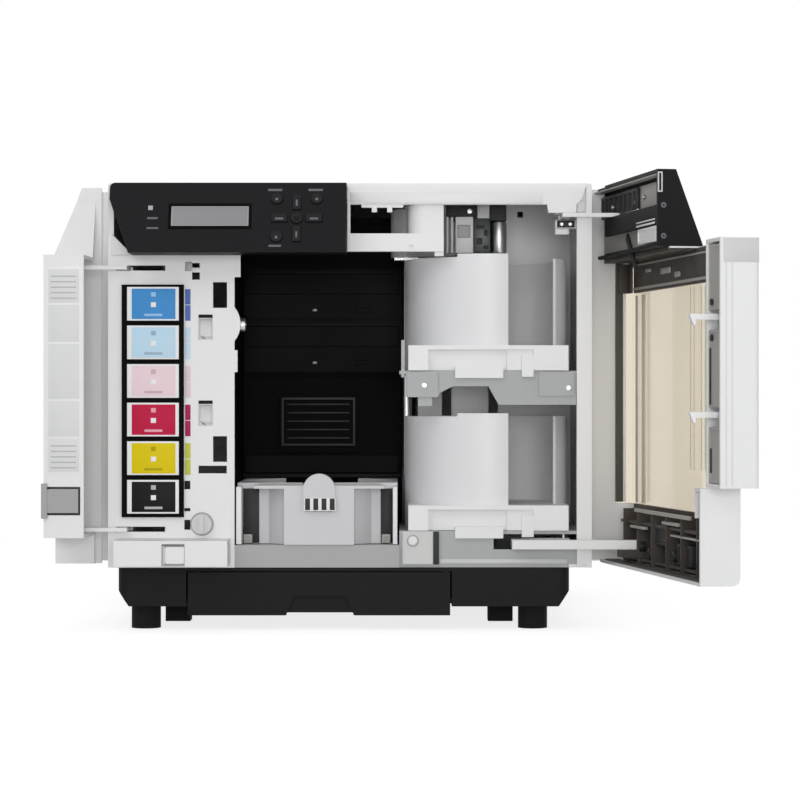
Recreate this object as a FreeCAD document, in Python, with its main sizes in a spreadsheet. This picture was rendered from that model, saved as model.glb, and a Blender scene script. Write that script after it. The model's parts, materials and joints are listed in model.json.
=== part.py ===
"""Desktop disc publisher with a narrow ink cover and a wide disc cover, both standing open.

X runs to the right, Y to the back and Z up. While it is built, X = 0 is the middle of the
casing, Y = 0 the plane of the inner front frame, and Z = 0 the floor. The finished pieces are
moved so that the origin lies on the floor under the middle of the machine's bounding box.
"""
import FreeCAD, Part
import math
import os
import re
import Sketcher

SIZES = {
    # casing
    "machine_width": 377,
    "machine_height": 348,
    "casing_depth": 417,
    "deck": 48.5,
    "shell": 2.5,
    "casing_lip": 18,
    # shared plays
    "button_play": 0.35,
    "slide_play": 0.3,
    "bore_play": 0.05,
    # closed covers, as distances in front of the frame plane and heights
    "cover_front": 39,
    "cover_rear": 3,
    "cover_floor": 50,
    "slant_rise": 55,
    "cover_gap": 1,
    "slant": 20.2,
    # base, drawer tunnel and feet
    "base_inset_left": 7,
    "base_inset_right": 17,
    "base_front": 4,
    "base_inset_back": 12,
    "base_floor": 18,
    "tunnel_left": -128,
    "tunnel_right": 79.5,
    "tunnel_top": 45.5,
    "ledge_width": 4,
    "ledge_low": 20,
    "ledge_high": 24,
    "base_chamfer_wide": 8.6,
    "base_chamfer_high": 12.4,
    "foot_radius": 11.5,
    "foot_boss": 7,
    "pad_half": 9.8,
    "pad_lift": 3,
    "foot_inset_left": 20.5,
    "foot_inset_right": 28,
    "foot_inset_y": 20,
    "pad_inset_left": 43.5,
    "pad_inset_right": 52.5,
    "pad_inset_y": 51,
    # top bar over the disc compartment
    "bar_left": -2,
    "bar_drop": 16.5,
    "bar_front": -2,
    "bar_back": 3,
    "bar_lug": 6.5,
    "comb_left": 9,
    "comb_right": 41.5,
    "comb_deep": 2.4,
    "comb_tooth": 6,
    "comb_tooth_wide": 4,
    # control panel, measured up the slanted face where it is called high or low
    "panel_inset": 3.7,
    "panel_right": -2.4,
    "panel_notch_width": 15.4,
    "panel_notch_drop": 14,
    "panel_face": 3.5,
    "lens_left": -137,
    "lens_right": -77,
    "lens_low": 21.5,
    "lens_high": 39,
    "lens_depth": 1.5,
    "board_depth": 8,
    "board_thick": 1.6,
    "cap_proud": 1.2,
    "cap_depth": 3.8,
    "round_cap": 4.5,
    "arrow_x": -40.4,
    "arrow_high": 28.6,
    "arrow_spread": 13.3,
    "arrow_long": 12.4,
    "arrow_wide": 6.4,
    # ink bay panel
    "bay_panel_inset": 4.5,
    "bay_panel_right": -90,
    "catch_x": -112.5,
    "catch_high": 236,
    "catch_low": 169,
    "lobe_radius": 20.9,
    "lobe_proud": 4.7,
    "step_inset": 8.5,
    "step_right": -93,
    "step_low": 51.7,
    "step_high": 71.5,
    "power_x": -133.2,
    "power_z": 60.5,
    "power_width": 14.5,
    "power_height": 13,
    "lock_x": -115.3,
    "lock_z": 82.6,
    "lock_radius": 7.8,
    # ink cage and cartridges
    "cage_inset": 10.9,
    "cage_wall_right": 3.1,
    "cage_low": 88,
    "cage_front": 3,
    "cage_back": 120,
    "cage_wall_left": 4,
    "cell_width": 41.2,
    "cage_drop": 24,
    "divider": 2.4,
    "cartridge_play": 0.4,
    "cartridge_front": 5,
    "cartridge_back": 108,
    # ink cover
    "cage_cover": 2.3,
    "ink_cover_low": 73,
    "cover_play": 1,
    "ink_rim_rear": 8,
    "ink_leg_width": 7.5,
    "ink_pin_inset": 13.5,
    "ink_pin_y": 19.5,
    "ink_arm_reach": 25.5,
    "ink_arm_drop": 11.5,
    "ink_arm_lower": 77,
    "ink_arm_thick": 3,
    "arm_strip": 6,
    "eye_half": 4.5,
    "pin_radius": 2,
    "ink_open": 92,
    "latch_low": 88,
    "latch_high": 115,
    # disc cover
    "disc_cover_left": -91.5,
    "window_low": 97,
    "rail_thick": 1.2,
    "window_corner": 15,
    "window_side": 16.5,
    "end_block_high": 118,
    "end_block_right": -78,
    "disc_rim_rear": 10,
    "fairing_left": -1.6,
    "fairing_rear": 4.8,
    "swing_gap": 8.5,
    "swing_reach": 18,
    "beam_rise": 15,
    "beam_height": 14.2,
    "beam_thick": 3.2,
    "handle_left": -125.5,
    "handle_front": 42,
    "handle_rear": 14,
    "disc_pin_inset": 20.5,
    "disc_pin_y": 24,
    "disc_arm_reach": 32,
    "disc_arm_thick": 3,
    "disc_arm_lean": 10,
    "upper_arm_length": 50,
    "lower_arm_strip": 8,
    "lower_arm_loop": 38,
    "lower_arm_length": 64,
    "lower_arm_low": 63.5,
    "lower_arm_high": 70.5,
    "disc_open": 100,
    # disc bay and the compartment of the stackers
    "bay_x": -26,
    "bay_left": -91.5,
    "lining": 3,
    "bay_floor_high": 66,
    "room_left": 38.5,
    "room_inset": 7,
    "room_back": 150,
    "column_width": 7.2,
    "column_inset": 4.5,
    "frame_thick": 4.7,
    "bridge_rise": 3,
    "bridge_height": 14,
    "bridge_right": 73,
    "bracket_bend": 11,
    "bracket_flat": 17,
    "bracket_drop": 0.5,
    # shelves
    "shelf_gap": 36,
    "lower_shelf": 77,
    "shelf_front": 5,
    "shelf_thick": 2.5,
    "apron_drop": 20.5,
    "arch_drop": 12,
    "number_block": 68.5,
    "arm_notch_left": 112,
    "arm_notch_low": 62.5,
    # stackers one and two
    "stack_inset": 73.5,
    "stack_y": 72,
    "stack_radius": 65,
    "stack_wall": 2.5,
    "stack_half": 62.5,
    "stack_front": 4,
    "recess": 6,
    "foot_high": 19.6,
    "flange": 3.3,
    "rim_gap": 3,
    "window_start": 14,
    "window_end": 57,
    "arm_slot": 30,
    # disc trays
    "disc_recess": 60.5,
    "tray_half": 62.8,
    "door_half": 63.6,
    "door_gap": 0.4,
    "tray_depth": 136,
    "disc_behind_door": 65,
    # drives and printer
    "drive_left": -100,
    "drive_right": 48,
    "drive_front": 149,
    "drive_back": 335,
    "drive_height": 42,
    "drive_gap": 2,
    "drive_rise": 5,
    "door_low": 21,
    "door_high": 37.5,
    "eject_x": 8,
    "eject_high": 7.5,
    "printer_front": 140,
    "printer_room": 152,
    "printer_inset_back": 17,
    "printer_low": 116,
    "printer_high": 198,
    "slot_low": 118.5,
    "slot_high": 133.5,
    # picker arm
    "shaft_x": 44.5,
    "shaft_y": 116,
    "shaft_radius": 4,
    "sleeve_radius": 8,
    "socket_deep": 7,
    "carriage_drop": 54,
    "arm_drop": 12,
    "housing_radius": 13,
    "beam_half": 11,
    # stacker three
    "tray_left": -89,
    "tray_right": 37,
    "tray_front": 2,
    "tray_back": 149,
    "tray_high": 114,
    "tray_centre_y": 84.4,
    "tray_radius": 61.5,
    "tray_belly": 51,
    "tray_step": 22,
    "tab_half": 12.4,
    # drawer
    "drawer_low": 11,
    "drawer_back": 250,
    "drawer_face": 4,
    "drawer_gap": 1.3,
    # fan
    "fan_inset": 78.5,
    "fan_z": 250,
    "fan_radius": 29,
    "hub_radius": 11,
    "spindle_radius": 3,
    "grille_slot": 3.2,
    "inlet_inset": 48.5,
    "inlet_z": 90,
}

FOLLOWING = {
    # heights that hang from the top of the machine
    "roof": "machine_height - shell",
    "cover_top": "machine_height - cover_gap",
    "slant_bottom": "cover_top - slant_rise",
    "bar_low": "machine_height - bar_drop",
    "panel_notch_top": "machine_height - panel_notch_drop",
    "ink_cover_high": "slant_bottom - cover_play",
    "ink_arm_upper": "slant_bottom - ink_arm_drop",
    "window_high": "slant_bottom - cover_play",
    "handle_high": "window_high - cover_play",
    "beam_low": "slant_bottom + beam_rise",
    "beam_high": "beam_low + beam_height",
    "bridge_low": "slant_bottom + bridge_rise",
    "bridge_high": "bridge_low + bridge_height",
    "bracket_foot": "slant_bottom - bracket_drop",
    "carriage_low": "machine_height - carriage_drop",
    "arm_top": "machine_height - arm_drop",
    # what lies between those heights and the deck
    "cell_pitch": "(slant_bottom - cage_drop - cage_low) / 6",
    "cage_high": "cage_low + 6 * cell_pitch + 1",
    "stack_height": "(carriage_low - rim_gap - lower_shelf - shelf_gap) / 2",
    "upper_shelf": "lower_shelf + stack_height + shelf_gap",
    "apron_low": "upper_shelf - apron_drop",
    "apron_arch": "upper_shelf - arch_drop",
    "drive_2_floor": "printer_high + drive_rise",
    "drive_1_floor": "drive_2_floor + drive_height + drive_gap",
    # places measured from the covers' front, the sides and the back
    "slant_back": "(cover_top - slant_bottom) * tan(slant) - cover_front",
    "side": "machine_width / 2",
    "base_left": "base_inset_left - side",
    "base_right": "side - base_inset_right",
    "base_back": "casing_depth - base_inset_back",
    "panel_left": "panel_inset - side",
    "bay_panel_left": "bay_panel_inset - side",
    "step_left": "step_inset - side",
    "cage_left": "cage_inset - side",
    "cell_left": "cage_left + cage_wall_left",
    "cell_right": "cell_left + cell_width",
    "cage_right": "cell_right + cage_wall_right",
    "ink_cover_right": "cage_right + cage_cover",
    "ink_pin_x": "ink_pin_inset - side",
    "disc_pin_x": "side - disc_pin_inset",
    "room_right": "side - room_inset",
    "column_right": "side - column_inset",
    "column_left": "column_right - column_width",
    "stack_x": "room_right - stack_inset",
    "printer_back": "casing_depth - printer_inset_back",
    "fan_x": "side - fan_inset",
    "inlet_x": "inlet_inset - side",
}

DOC = FreeCAD.newDocument("disc_publisher")
PLANES = {"x": "YZ_Plane", "y": "XZ_Plane", "z": "XY_Plane", "panel": "XZ_Plane"}
PIECES = []


def fill_sheet():
    """Write every driving size into the sheet under its own name."""
    sheet = DOC.addObject("Spreadsheet::Sheet", "sizes")
    for row, (name, value) in enumerate(SIZES.items(), start=1):
        sheet.set("A%d" % row, name)
        sheet.set("B%d" % row, str(value))
        sheet.setAlias("B%d" % row, name)
    DOC.recompute()


def bound(text):
    """Point each size named in an expression at the sheet, and write out those that follow from others."""
    def point(word):
        name = word.group()
        if name in FOLLOWING:
            return "(%s)" % bound(FOLLOWING[name])
        return "sizes." + name if name in SIZES else name
    return re.sub(r"[a-z][a-z_0-9]*", point, str(text))


def rect(left, low, right, high):
    """Closed outline of a rectangle."""
    return [(left, low), (right, low), (right, high), (left, high)]


def square(across, up, half):
    """Closed outline of a square about its middle."""
    return rect("%s - %s" % (across, half), "%s - %s" % (up, half), "%s + %s" % (across, half),
                "%s + %s" % (up, half))


def disk(across, up, radius):
    """Closed outline of a circle."""
    return (across, up, radius)


def draw_corners(sketch, corners):
    """Draw a closed outline whose corners are held at bound coordinates."""
    first = sketch.GeometryCount
    turn = 2 * math.pi / len(corners)
    guess = [FreeCAD.Vector(10 * math.cos(i * turn), 10 * math.sin(i * turn), 0) for i in range(len(corners))]
    for i, start in enumerate(guess):
        sketch.addGeometry(Part.LineSegment(start, guess[(i + 1) % len(guess)]), False)
    for i in range(len(corners)):
        following = first + (i + 1) % len(corners)
        sketch.addConstraint(Sketcher.Constraint("Coincident", first + i, 2, following, 1))
    for i, (across, up) in enumerate(corners):
        hold_point(sketch, first + i, 1, guess[i], across, up)


def draw_circle(sketch, across, up, radius):
    """Draw a circle held at a bound centre and radius."""
    middle = FreeCAD.Vector(0, 0, 0)
    circle = sketch.addGeometry(Part.Circle(middle, FreeCAD.Vector(0, 0, 1), 5), False)
    size = sketch.addConstraint(Sketcher.Constraint("Radius", circle, 5))
    sketch.setExpression("Constraints[%d]" % size, bound(radius))
    hold_point(sketch, circle, 3, middle, across, up)


def hold_point(sketch, curve, end, guess, across, up):
    """Hold one point of a curve at bound coordinates."""
    for kind, value, text in (("DistanceX", guess.x, across), ("DistanceY", guess.y, up)):
        held = sketch.addConstraint(Sketcher.Constraint(kind, curve, end, value))
        sketch.setExpression("Constraints[%d]" % held, bound(text))


def straight_edges(shape, along, sides):
    """Names of the straight edges along one axis that lie on the given sides of the shape."""
    box = shape.BoundBox
    limits = {"x": (box.XMin, box.XMax), "y": (box.YMin, box.YMax), "z": (box.ZMin, box.ZMax)}
    found = []
    for number, edge in enumerate(shape.Edges, start=1):
        if edge.Curve.TypeId != "Part::GeomLine" or abs(getattr(edge.Curve.Direction, along)) < 0.999:
            continue
        middle = edge.CenterOfMass
        if all(abs(getattr(middle, axis) - limits[axis][side == "max"]) < 0.01 for axis, side in sides.items()):
            found.append("Edge%d" % number)
    return found


class Piece:
    """One sub-part: a body made of features whose outlines and depths follow the sheet."""

    def __init__(self, name):
        self.name = name
        self.body = DOC.addObject("PartDesign::Body", name)
        self.body.Label = name
        self.body.AllowCompound = True
        self.steps = 0
        PIECES.append(self)

    def name_step(self, kind):
        """Name the next sketch or feature after the piece."""
        self.steps += 1
        return "%s_%s_%d" % (self.name, kind, self.steps)

    def outline(self, axis, loops, start, stop):
        """Sketch closed outlines across an axis, at the end from which the feature grows."""
        sketch = self.body.newObject("Sketcher::SketchObject", self.name_step("outline"))
        plane = next(item for item in self.body.Origin.OriginFeatures if item.Role == PLANES[axis])
        sketch.AttachmentSupport = [(plane, "")]
        sketch.MapMode = "FlatFace"
        if axis == "panel":
            lean = FreeCAD.Rotation(FreeCAD.Vector(-1, 0, 0), 10)
            sketch.AttachmentOffset = FreeCAD.Placement(FreeCAD.Vector(0, 0, 0), lean)
            sketch.setExpression("AttachmentOffset.Rotation.Angle", bound("slant"))
            sketch.setExpression("AttachmentOffset.Base.y", bound("slant_bottom + (%s) * sin(slant)" % start))
            sketch.setExpression("AttachmentOffset.Base.z", bound("cover_front + (%s) * cos(slant)" % start))
        else:
            level = "-(%s)" % stop if axis == "y" else start
            sketch.setExpression("AttachmentOffset.Base.z", bound(level))
        for loop in loops:
            if isinstance(loop, tuple):
                draw_circle(sketch, *loop)
            else:
                draw_corners(sketch, loop)
        return sketch

    def add(self, axis, loops, start, stop):
        """Add material inside the outlines from start to stop along an axis."""
        sketch = self.outline(axis, loops, start, stop)
        pad = self.body.newObject("PartDesign::Pad", self.name_step("pad"))
        pad.Profile = sketch
        pad.setExpression("Length", bound("(%s) - (%s)" % (stop, start)))
        return pad

    def cut(self, axis, loops, start, stop):
        """Remove material inside the outlines from start to stop along an axis."""
        sketch = self.outline(axis, loops, start, stop)
        pocket = self.body.newObject("PartDesign::Pocket", self.name_step("pocket"))
        pocket.Profile = sketch
        pocket.Reversed = True
        pocket.setExpression("Length", bound("(%s) - (%s)" % (stop, start)))
        return pocket

    def turn_about(self, feature, across, up, count):
        """Repeat a feature evenly round an axis that stands on its own sketch."""
        sketch = feature.Profile[0]
        sketch.setExpression("AttachmentOffset.Base.x", bound(across))
        sketch.setExpression("AttachmentOffset.Base.y", bound(up))
        pattern = self.body.newObject("PartDesign::PolarPattern", self.name_step("pattern"))
        pattern.Originals = [feature]
        pattern.Axis = (sketch, ["N_Axis"])
        pattern.Angle = 360
        pattern.Occurrences = count
        self.body.Tip = pattern

    def soften(self, size, along, **sides):
        """Round the straight edges along an axis on the given sides."""
        DOC.recompute()
        tip = self.body.Tip
        fillet = self.body.newObject("PartDesign::Fillet", self.name_step("fillet"))
        fillet.Base = (tip, straight_edges(tip.Shape, along, sides))
        fillet.setExpression("Radius", bound(size))

    def swing(self, pin_x, pin_y, angle, sense):
        """Turn the closed piece about an upright pin, anticlockwise from above for sense 1."""
        axis = FreeCAD.Vector(0, 0, sense)
        self.body.Placement = FreeCAD.Placement(FreeCAD.Vector(0, 0, 0), FreeCAD.Rotation(axis, 10))
        self.body.setExpression("Placement.Rotation.Angle", bound(angle))
        words = {"x": pin_x, "y": pin_y, "c": "cos(%s)" % angle, "s": "%d * sin(%s)" % (sense, angle)}
        self.body.setExpression("Placement.Base.x", bound("%(x)s - %(x)s * %(c)s + %(y)s * %(s)s" % words))
        self.body.setExpression("Placement.Base.y", bound("%(y)s - %(x)s * %(s)s - %(y)s * %(c)s" % words))


def base_pan():
    """Black base: two hollow blocks with foot bosses, joined by a deck over the drawer's tunnel."""
    base = Piece("base_pan")
    arch = [
        ("base_left", "base_floor + base_chamfer_high"), ("base_left + base_chamfer_wide", "base_floor"),
        ("tunnel_left", "base_floor"), ("tunnel_left", "tunnel_top"),
        ("tunnel_right", "tunnel_top"), ("tunnel_right", "base_floor"),
        ("base_right - base_chamfer_wide", "base_floor"), ("base_right", "base_floor + base_chamfer_high"),
        ("base_right", "deck"), ("base_left", "deck"),
    ]
    base.add("y", [arch], "base_front", "base_back")
    base.soften("8", "z", y="min", x="min")
    base.soften("8", "z", y="min", x="max")
    hollow_top = "deck - 2 * shell"
    base.cut("z", [
        rect("base_left + base_chamfer_wide + shell", "base_front + shell", "tunnel_left - shell",
             "base_back - shell"),
        rect("tunnel_right + shell", "base_front + shell", "base_right - base_chamfer_wide - shell",
             "base_back - shell"),
    ], "base_floor", hollow_top)
    bosses = []
    for kind in ("foot", "pad"):
        for foot_x, foot_y in foot_places(kind):
            bosses.append(square(foot_x, foot_y, "foot_boss"))
    base.add("z", bosses, "base_floor", hollow_top)
    base.add("y", [rect("tunnel_left", "ledge_high + 4", "tunnel_right", "tunnel_top")],
             "base_back - shell", "base_back")
    base.add("y", [
        rect("tunnel_left", "ledge_low", "tunnel_left + ledge_width", "ledge_high"),
        rect("tunnel_right - ledge_width", "ledge_low", "tunnel_right", "ledge_high"),
    ], "base_front + 6", "base_back")


def foot_places(kind):
    """Places of the four feet or pads, set in from the base's corners."""
    places = []
    for foot_x in ("base_left + %s_inset_left" % kind, "base_right - %s_inset_right" % kind):
        for foot_y in ("base_front + %s_inset_y" % kind, "base_back - %s_inset_y" % kind):
            places.append((foot_x, foot_y))
    return places


def feet():
    """Four round rubber feet at the corners, and four shorter square stops inside them."""
    rubber = Piece("feet")
    rubber.add("z", [disk(x, y, "foot_radius") for x, y in foot_places("foot")], "0", "base_floor")
    rubber.add("z", [square(x, y, "pad_half") for x, y in foot_places("pad")], "pad_lift", "base_floor")


def side_cover(name, outer, inner, lip, front_lip):
    """Side casing: a wall with lips along the bottom, the front and the back, and cooling slots."""
    left, right = (outer, inner) if name == "left_side_cover" else (inner, outer)
    cover = Piece(name)
    cover.add("x", [rect("0", "deck", "casing_depth - shell", "roof")], left, right)
    near, far = (inner, lip) if name == "left_side_cover" else (lip, inner)
    cover.add("x", [rect("shell", "deck", "casing_depth - shell", "deck + shell")], near, far)
    near, far = (inner, front_lip) if name == "left_side_cover" else (front_lip, inner)
    cover.add("x", [rect("0", "deck", "shell", "roof")], near, far)
    slots = [rect("300", "90 + %d" % (8 * i), "372", "94 + %d" % (8 * i)) for i in range(9)]
    cover.cut("x", slots, left, right)


def side_covers():
    """Left and right side casings."""
    side_cover("left_side_cover", "-side", "shell - side", "casing_lip - side", "bay_panel_left")
    side_cover("right_side_cover", "side", "side - shell", "side - casing_lip", "column_right")


def top_cover():
    """Top casing with the white bar over the disc compartment, its comb and the socket of the lift shaft."""
    cover = Piece("top_cover")
    cover.add("z", [rect("-side", "0", "side", "casing_depth")], "roof", "machine_height")
    cover.soften("2.2", "y", z="max", x="min")
    cover.soften("2.2", "y", z="max", x="max")
    bar = [
        ("bar_left", "bar_low"), ("side - 35", "bar_low"), ("side - 34", "bar_low - bar_lug"),
        ("column_left - 0.4", "bar_low - bar_lug"), ("column_left - 0.4", "bar_low"),
        ("side - 8.5", "bar_low + 3.5"),
        ("column_right", "roof"), ("bar_left", "roof"),
    ]
    cover.add("y", [bar], "bar_front", "bar_back")
    teeth = [rect("comb_left + %d" % step, "bar_low - comb_tooth",
                  "comb_left + comb_tooth_wide + %d" % step, "bar_low - comb_deep") for step in (8, 20)]
    cover.add("y", [rect("comb_left", "bar_low - comb_deep", "comb_right", "bar_low")], "bar_front + 1",
              "bar_back")
    cover.add("y", teeth, "bar_front + 1", "bar_back")
    cover.add("z", [square("shaft_x", "shaft_y", "sleeve_radius")], "roof - socket_deep", "roof")
    cover.cut("z", [disk("shaft_x", "shaft_y", "shaft_radius + bore_play")], "roof - socket_deep", "roof")


def rear_cover():
    """Rear casing with a round fan grille, the fan's shroud and the opening of the mains inlet."""
    back = Piece("rear_cover")
    back.add("y", [rect("shell - side", "deck", "side - shell", "roof")],
             "casing_depth - shell", "casing_depth")
    back.add("y", [square("fan_x", "fan_z", "(fan_radius + 3)"), disk("fan_x", "fan_z", "fan_radius")],
             "casing_depth - shell - 16", "casing_depth - shell")
    slot = back.cut("y", [rect("hub_radius", "-grille_slot / 2", "fan_radius - 2", "grille_slot / 2")],
                    "casing_depth - shell", "casing_depth")
    back.turn_about(slot, "fan_x", "fan_z", 12)
    back.add("y", [disk("fan_x", "fan_z", "spindle_radius")], "casing_depth - shell - 14",
             "casing_depth - shell")
    back.cut("y", [rect("inlet_x - 14", "inlet_z - 10", "inlet_x + 14", "inlet_z + 10")],
             "casing_depth - shell", "casing_depth")
    slots = [rect("-100", "120 + %d" % (9 * i), "-30", "124 + %d" % (9 * i)) for i in range(8)]
    back.cut("y", slots, "casing_depth - shell", "casing_depth")


def fan_rotor():
    """Cooling fan: a hub on the rear cover's spindle with seven blades set at an angle."""
    fan = Piece("fan_rotor")
    front = "casing_depth - shell - 13"
    back = "casing_depth - shell - 3"
    fan.add("y", [disk("fan_x", "fan_z", "hub_radius"), disk("fan_x", "fan_z", "spindle_radius + bore_play")],
            front, back)
    blade = fan.add("y", [[("10", "-4"), ("27.5", "-7"), ("28", "4"), ("10", "1")]], front + " + 3",
                    front + " + 4.6")
    fan.turn_about(blade, "fan_x", "fan_z", 7)


def ac_inlet():
    """Three-pin mains inlet set in the rear cover."""
    inlet = Piece("ac_inlet")
    inlet.add("y", [rect("inlet_x - 14", "inlet_z - 10", "inlet_x + 14", "inlet_z + 10")],
              "casing_depth - 20", "casing_depth")
    inlet.cut("y", [rect("inlet_x - 12", "inlet_z - 8", "inlet_x + 12", "inlet_z + 8")],
              "casing_depth - 17", "casing_depth")
    pins = [rect("inlet_x + %d" % (x - 1), "inlet_z - %d" % (2 - z), "inlet_x + %d" % (x + 1),
                 "inlet_z + %d" % (2 + z))
            for x, z in ((-7, -1), (0, 2), (7, -1))]
    inlet.add("y", pins, "casing_depth - 17", "casing_depth - 3")


def inner_frame():
    """White frame: header, right column, bridge with a bent bracket, and the walls of the stackers' room."""
    frame = Piece("inner_frame")
    frame.add("y", [rect("bar_left", "bar_low", "column_right", "roof")], "bar_back", "frame_thick")
    frame.add("y", [rect("column_left", "deck + shell", "column_right", "bar_low")], "0", "frame_thick")
    frame.add("z", [rect("room_right", "frame_thick", "column_right", "room_back")], "deck + shell", "roof")
    frame.add("y", [rect("room_left + 15.5", "deck + shell", "column_right", "roof")], "room_back",
              "room_back + shell")
    frame.cut("y", [rect("74", "deck + 60", "82", "bar_low - 31.5"),
                    rect("113", "deck + 60", "121", "bar_low - 31.5")],
              "room_back", "room_back + shell")
    frame.add("y", [rect("83", "deck + shell", "112", "bar_low")], "room_back - 3", "room_back")
    frame.cut("y", [square("139.7", "bar_low + 3", "2.4")], "room_back", "room_back + shell")
    frame.add("y", [rect("bar_left", "bridge_low", "bridge_right", "bridge_high")], "0", "frame_thick + 2")
    bend_x = "bridge_right - bracket_flat"
    bend_y = "bar_back + bracket_bend"
    frame.add("z", [disk(bend_x, bend_y, "bracket_bend"), disk(bend_x, bend_y, "bracket_bend - shell")],
              "bridge_high", "bar_low")
    frame.cut("z", [rect(bend_x, "bar_back + shell", bend_x + " + bracket_bend", bend_y + " + bracket_bend"),
                    rect(bend_x + " - bracket_bend", bend_y, bend_x, bend_y + " + bracket_bend")],
              "bridge_high", "bar_low")
    frame.add("z", [rect(bend_x, "bar_back", "bridge_right", "bar_back + shell")], "bridge_high", "bar_low")
    frame.add("y", [rect("bridge_right - 7", "bracket_foot", "bridge_right", "bridge_low")], "bar_back",
              "bar_back + shell")
    frame.add("y", [rect("bar_left", "bridge_high", "bar_left + 2.3", "bar_low")], "0", "frame_thick")
    frame.cut("y", [rect("46", "bridge_low", "49.2", "bridge_low + 5")], "0", "2")
    for low, high in (("beam_high - 7", "beam_high - 0.6"),
                      ("beam_high + disc_arm_thick + 0.6", "beam_high + disc_arm_thick + 6")):
        frame.add("z", [rect("disc_pin_x - 7", "disc_pin_y - 9", "room_right", "disc_pin_y + 9")], low, high)
        frame.cut("z", [disk("disc_pin_x", "disc_pin_y", "pin_radius + bore_play")], low, high)


def control_panel():
    """Black slanted panel: a shell open at the back, with openings for the display and the buttons."""
    panel = Piece("control_panel")
    profile = [("-cover_front", "slant_bottom"), ("slant_back", "cover_top"), ("0", "cover_top"),
               ("0", "slant_bottom")]
    panel.add("x", [profile], "panel_left", "panel_right")
    notch = [("panel_left - 1", "slant_bottom - 1"), ("panel_left + panel_notch_width", "slant_bottom - 1"),
             ("panel_left + panel_notch_width", "slant_bottom + 1"), ("panel_left", "panel_notch_top"),
             ("panel_left - 1", "panel_notch_top")]
    panel.cut("y", [notch], "-cover_front - 1", "1")
    panel.soften("4", "y", x="min", z="max")
    inner_low = "-cover_front + panel_face + shell * tan(slant)"
    inner_high = "slant_back + panel_face - shell * tan(slant)"
    hollow = [(inner_low, "slant_bottom + shell"), (inner_high, "cover_top - shell"),
              ("1", "cover_top - shell"), ("1", "slant_bottom + shell")]
    panel.cut("x", [hollow], "panel_left + panel_notch_width + shell", "panel_right - shell")
    panel.cut("panel", [rect("lens_left", "lens_low", "lens_right", "lens_high")], "-lens_depth", "1")
    holes = [grow(shape) for _, shape in button_shapes()]
    panel.cut("panel", holes, "-6", "1")


def button_shapes():
    """Names and outlines of the panel's buttons: three round, four arrows and the middle one."""
    long = "arrow_long / 2"
    wide = "arrow_wide / 2"
    shapes = [
        ("button_top_left", disk("arrow_x - 15.4", "45", "round_cap")),
        ("button_top_right", disk("arrow_x + 15.4", "45", "round_cap")),
        ("button_bottom_left", disk("arrow_x - 15.4", "13", "round_cap")),
        ("button_centre", disk("arrow_x", "arrow_high", "round_cap")),
    ]
    for name, across, up in (("button_left", -1, 0), ("button_right", 1, 0), ("button_up", 0, 1),
                             ("button_down", 0, -1)):
        half_across, half_up = (long, wide) if across else (wide, long)
        middle_x = "arrow_x + %d * arrow_spread" % across
        middle_up = "arrow_high + %d * arrow_spread" % up
        shapes.append((name, rect("%s - %s" % (middle_x, half_across), "%s - %s" % (middle_up, half_up),
                                  "%s + %s" % (middle_x, half_across), "%s + %s" % (middle_up, half_up))))
    return shapes


def grow(shape):
    """The hole round a button: its outline moved out by the button's play."""
    if isinstance(shape, tuple):
        return disk(shape[0], shape[1], shape[2] + " + button_play")
    (left, low), _, (right, high), _ = shape
    return rect(left + " - button_play", low + " - button_play", right + " + button_play",
                high + " + button_play")


def panel_buttons():
    """Buttons of the control panel, each a cap that slides square to the slanted face."""
    for name, shape in button_shapes():
        cap = Piece(name)
        cap.add("panel", [shape], "-cap_depth", "cap_proud")


def lcd_window():
    """Clear plate over the display, flush in the panel's recess."""
    lens = Piece("lcd_window")
    lens.add("panel", [rect("lens_left", "lens_low", "lens_right", "lens_high")], "-lens_depth", "0")


def panel_board():
    """Circuit board behind the control panel, on six pegs, with a switch under each button."""
    board = Piece("panel_board")
    board.add("panel", [rect("-158", "8", "-10", "50")], "-board_depth - board_thick", "-board_depth")
    pegs = [square(x, up, "2") for x in ("-155", "-68", "-13") for up in ("10.5", "47")]
    board.add("panel", pegs, "-board_depth", "-panel_face * cos(slant)")
    switches = [square(*middle_of(shape), "2.2") for _, shape in button_shapes()]
    board.add("panel", switches, "-board_depth", "-cap_depth - 1.2")


def middle_of(shape):
    """Middle of a button's outline."""
    if isinstance(shape, tuple):
        return shape[0], shape[1]
    (left, low), _, (right, high), _ = shape
    return "((%s) + (%s)) / 2" % (left, right), "((%s) + (%s)) / 2" % (low, high)


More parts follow.
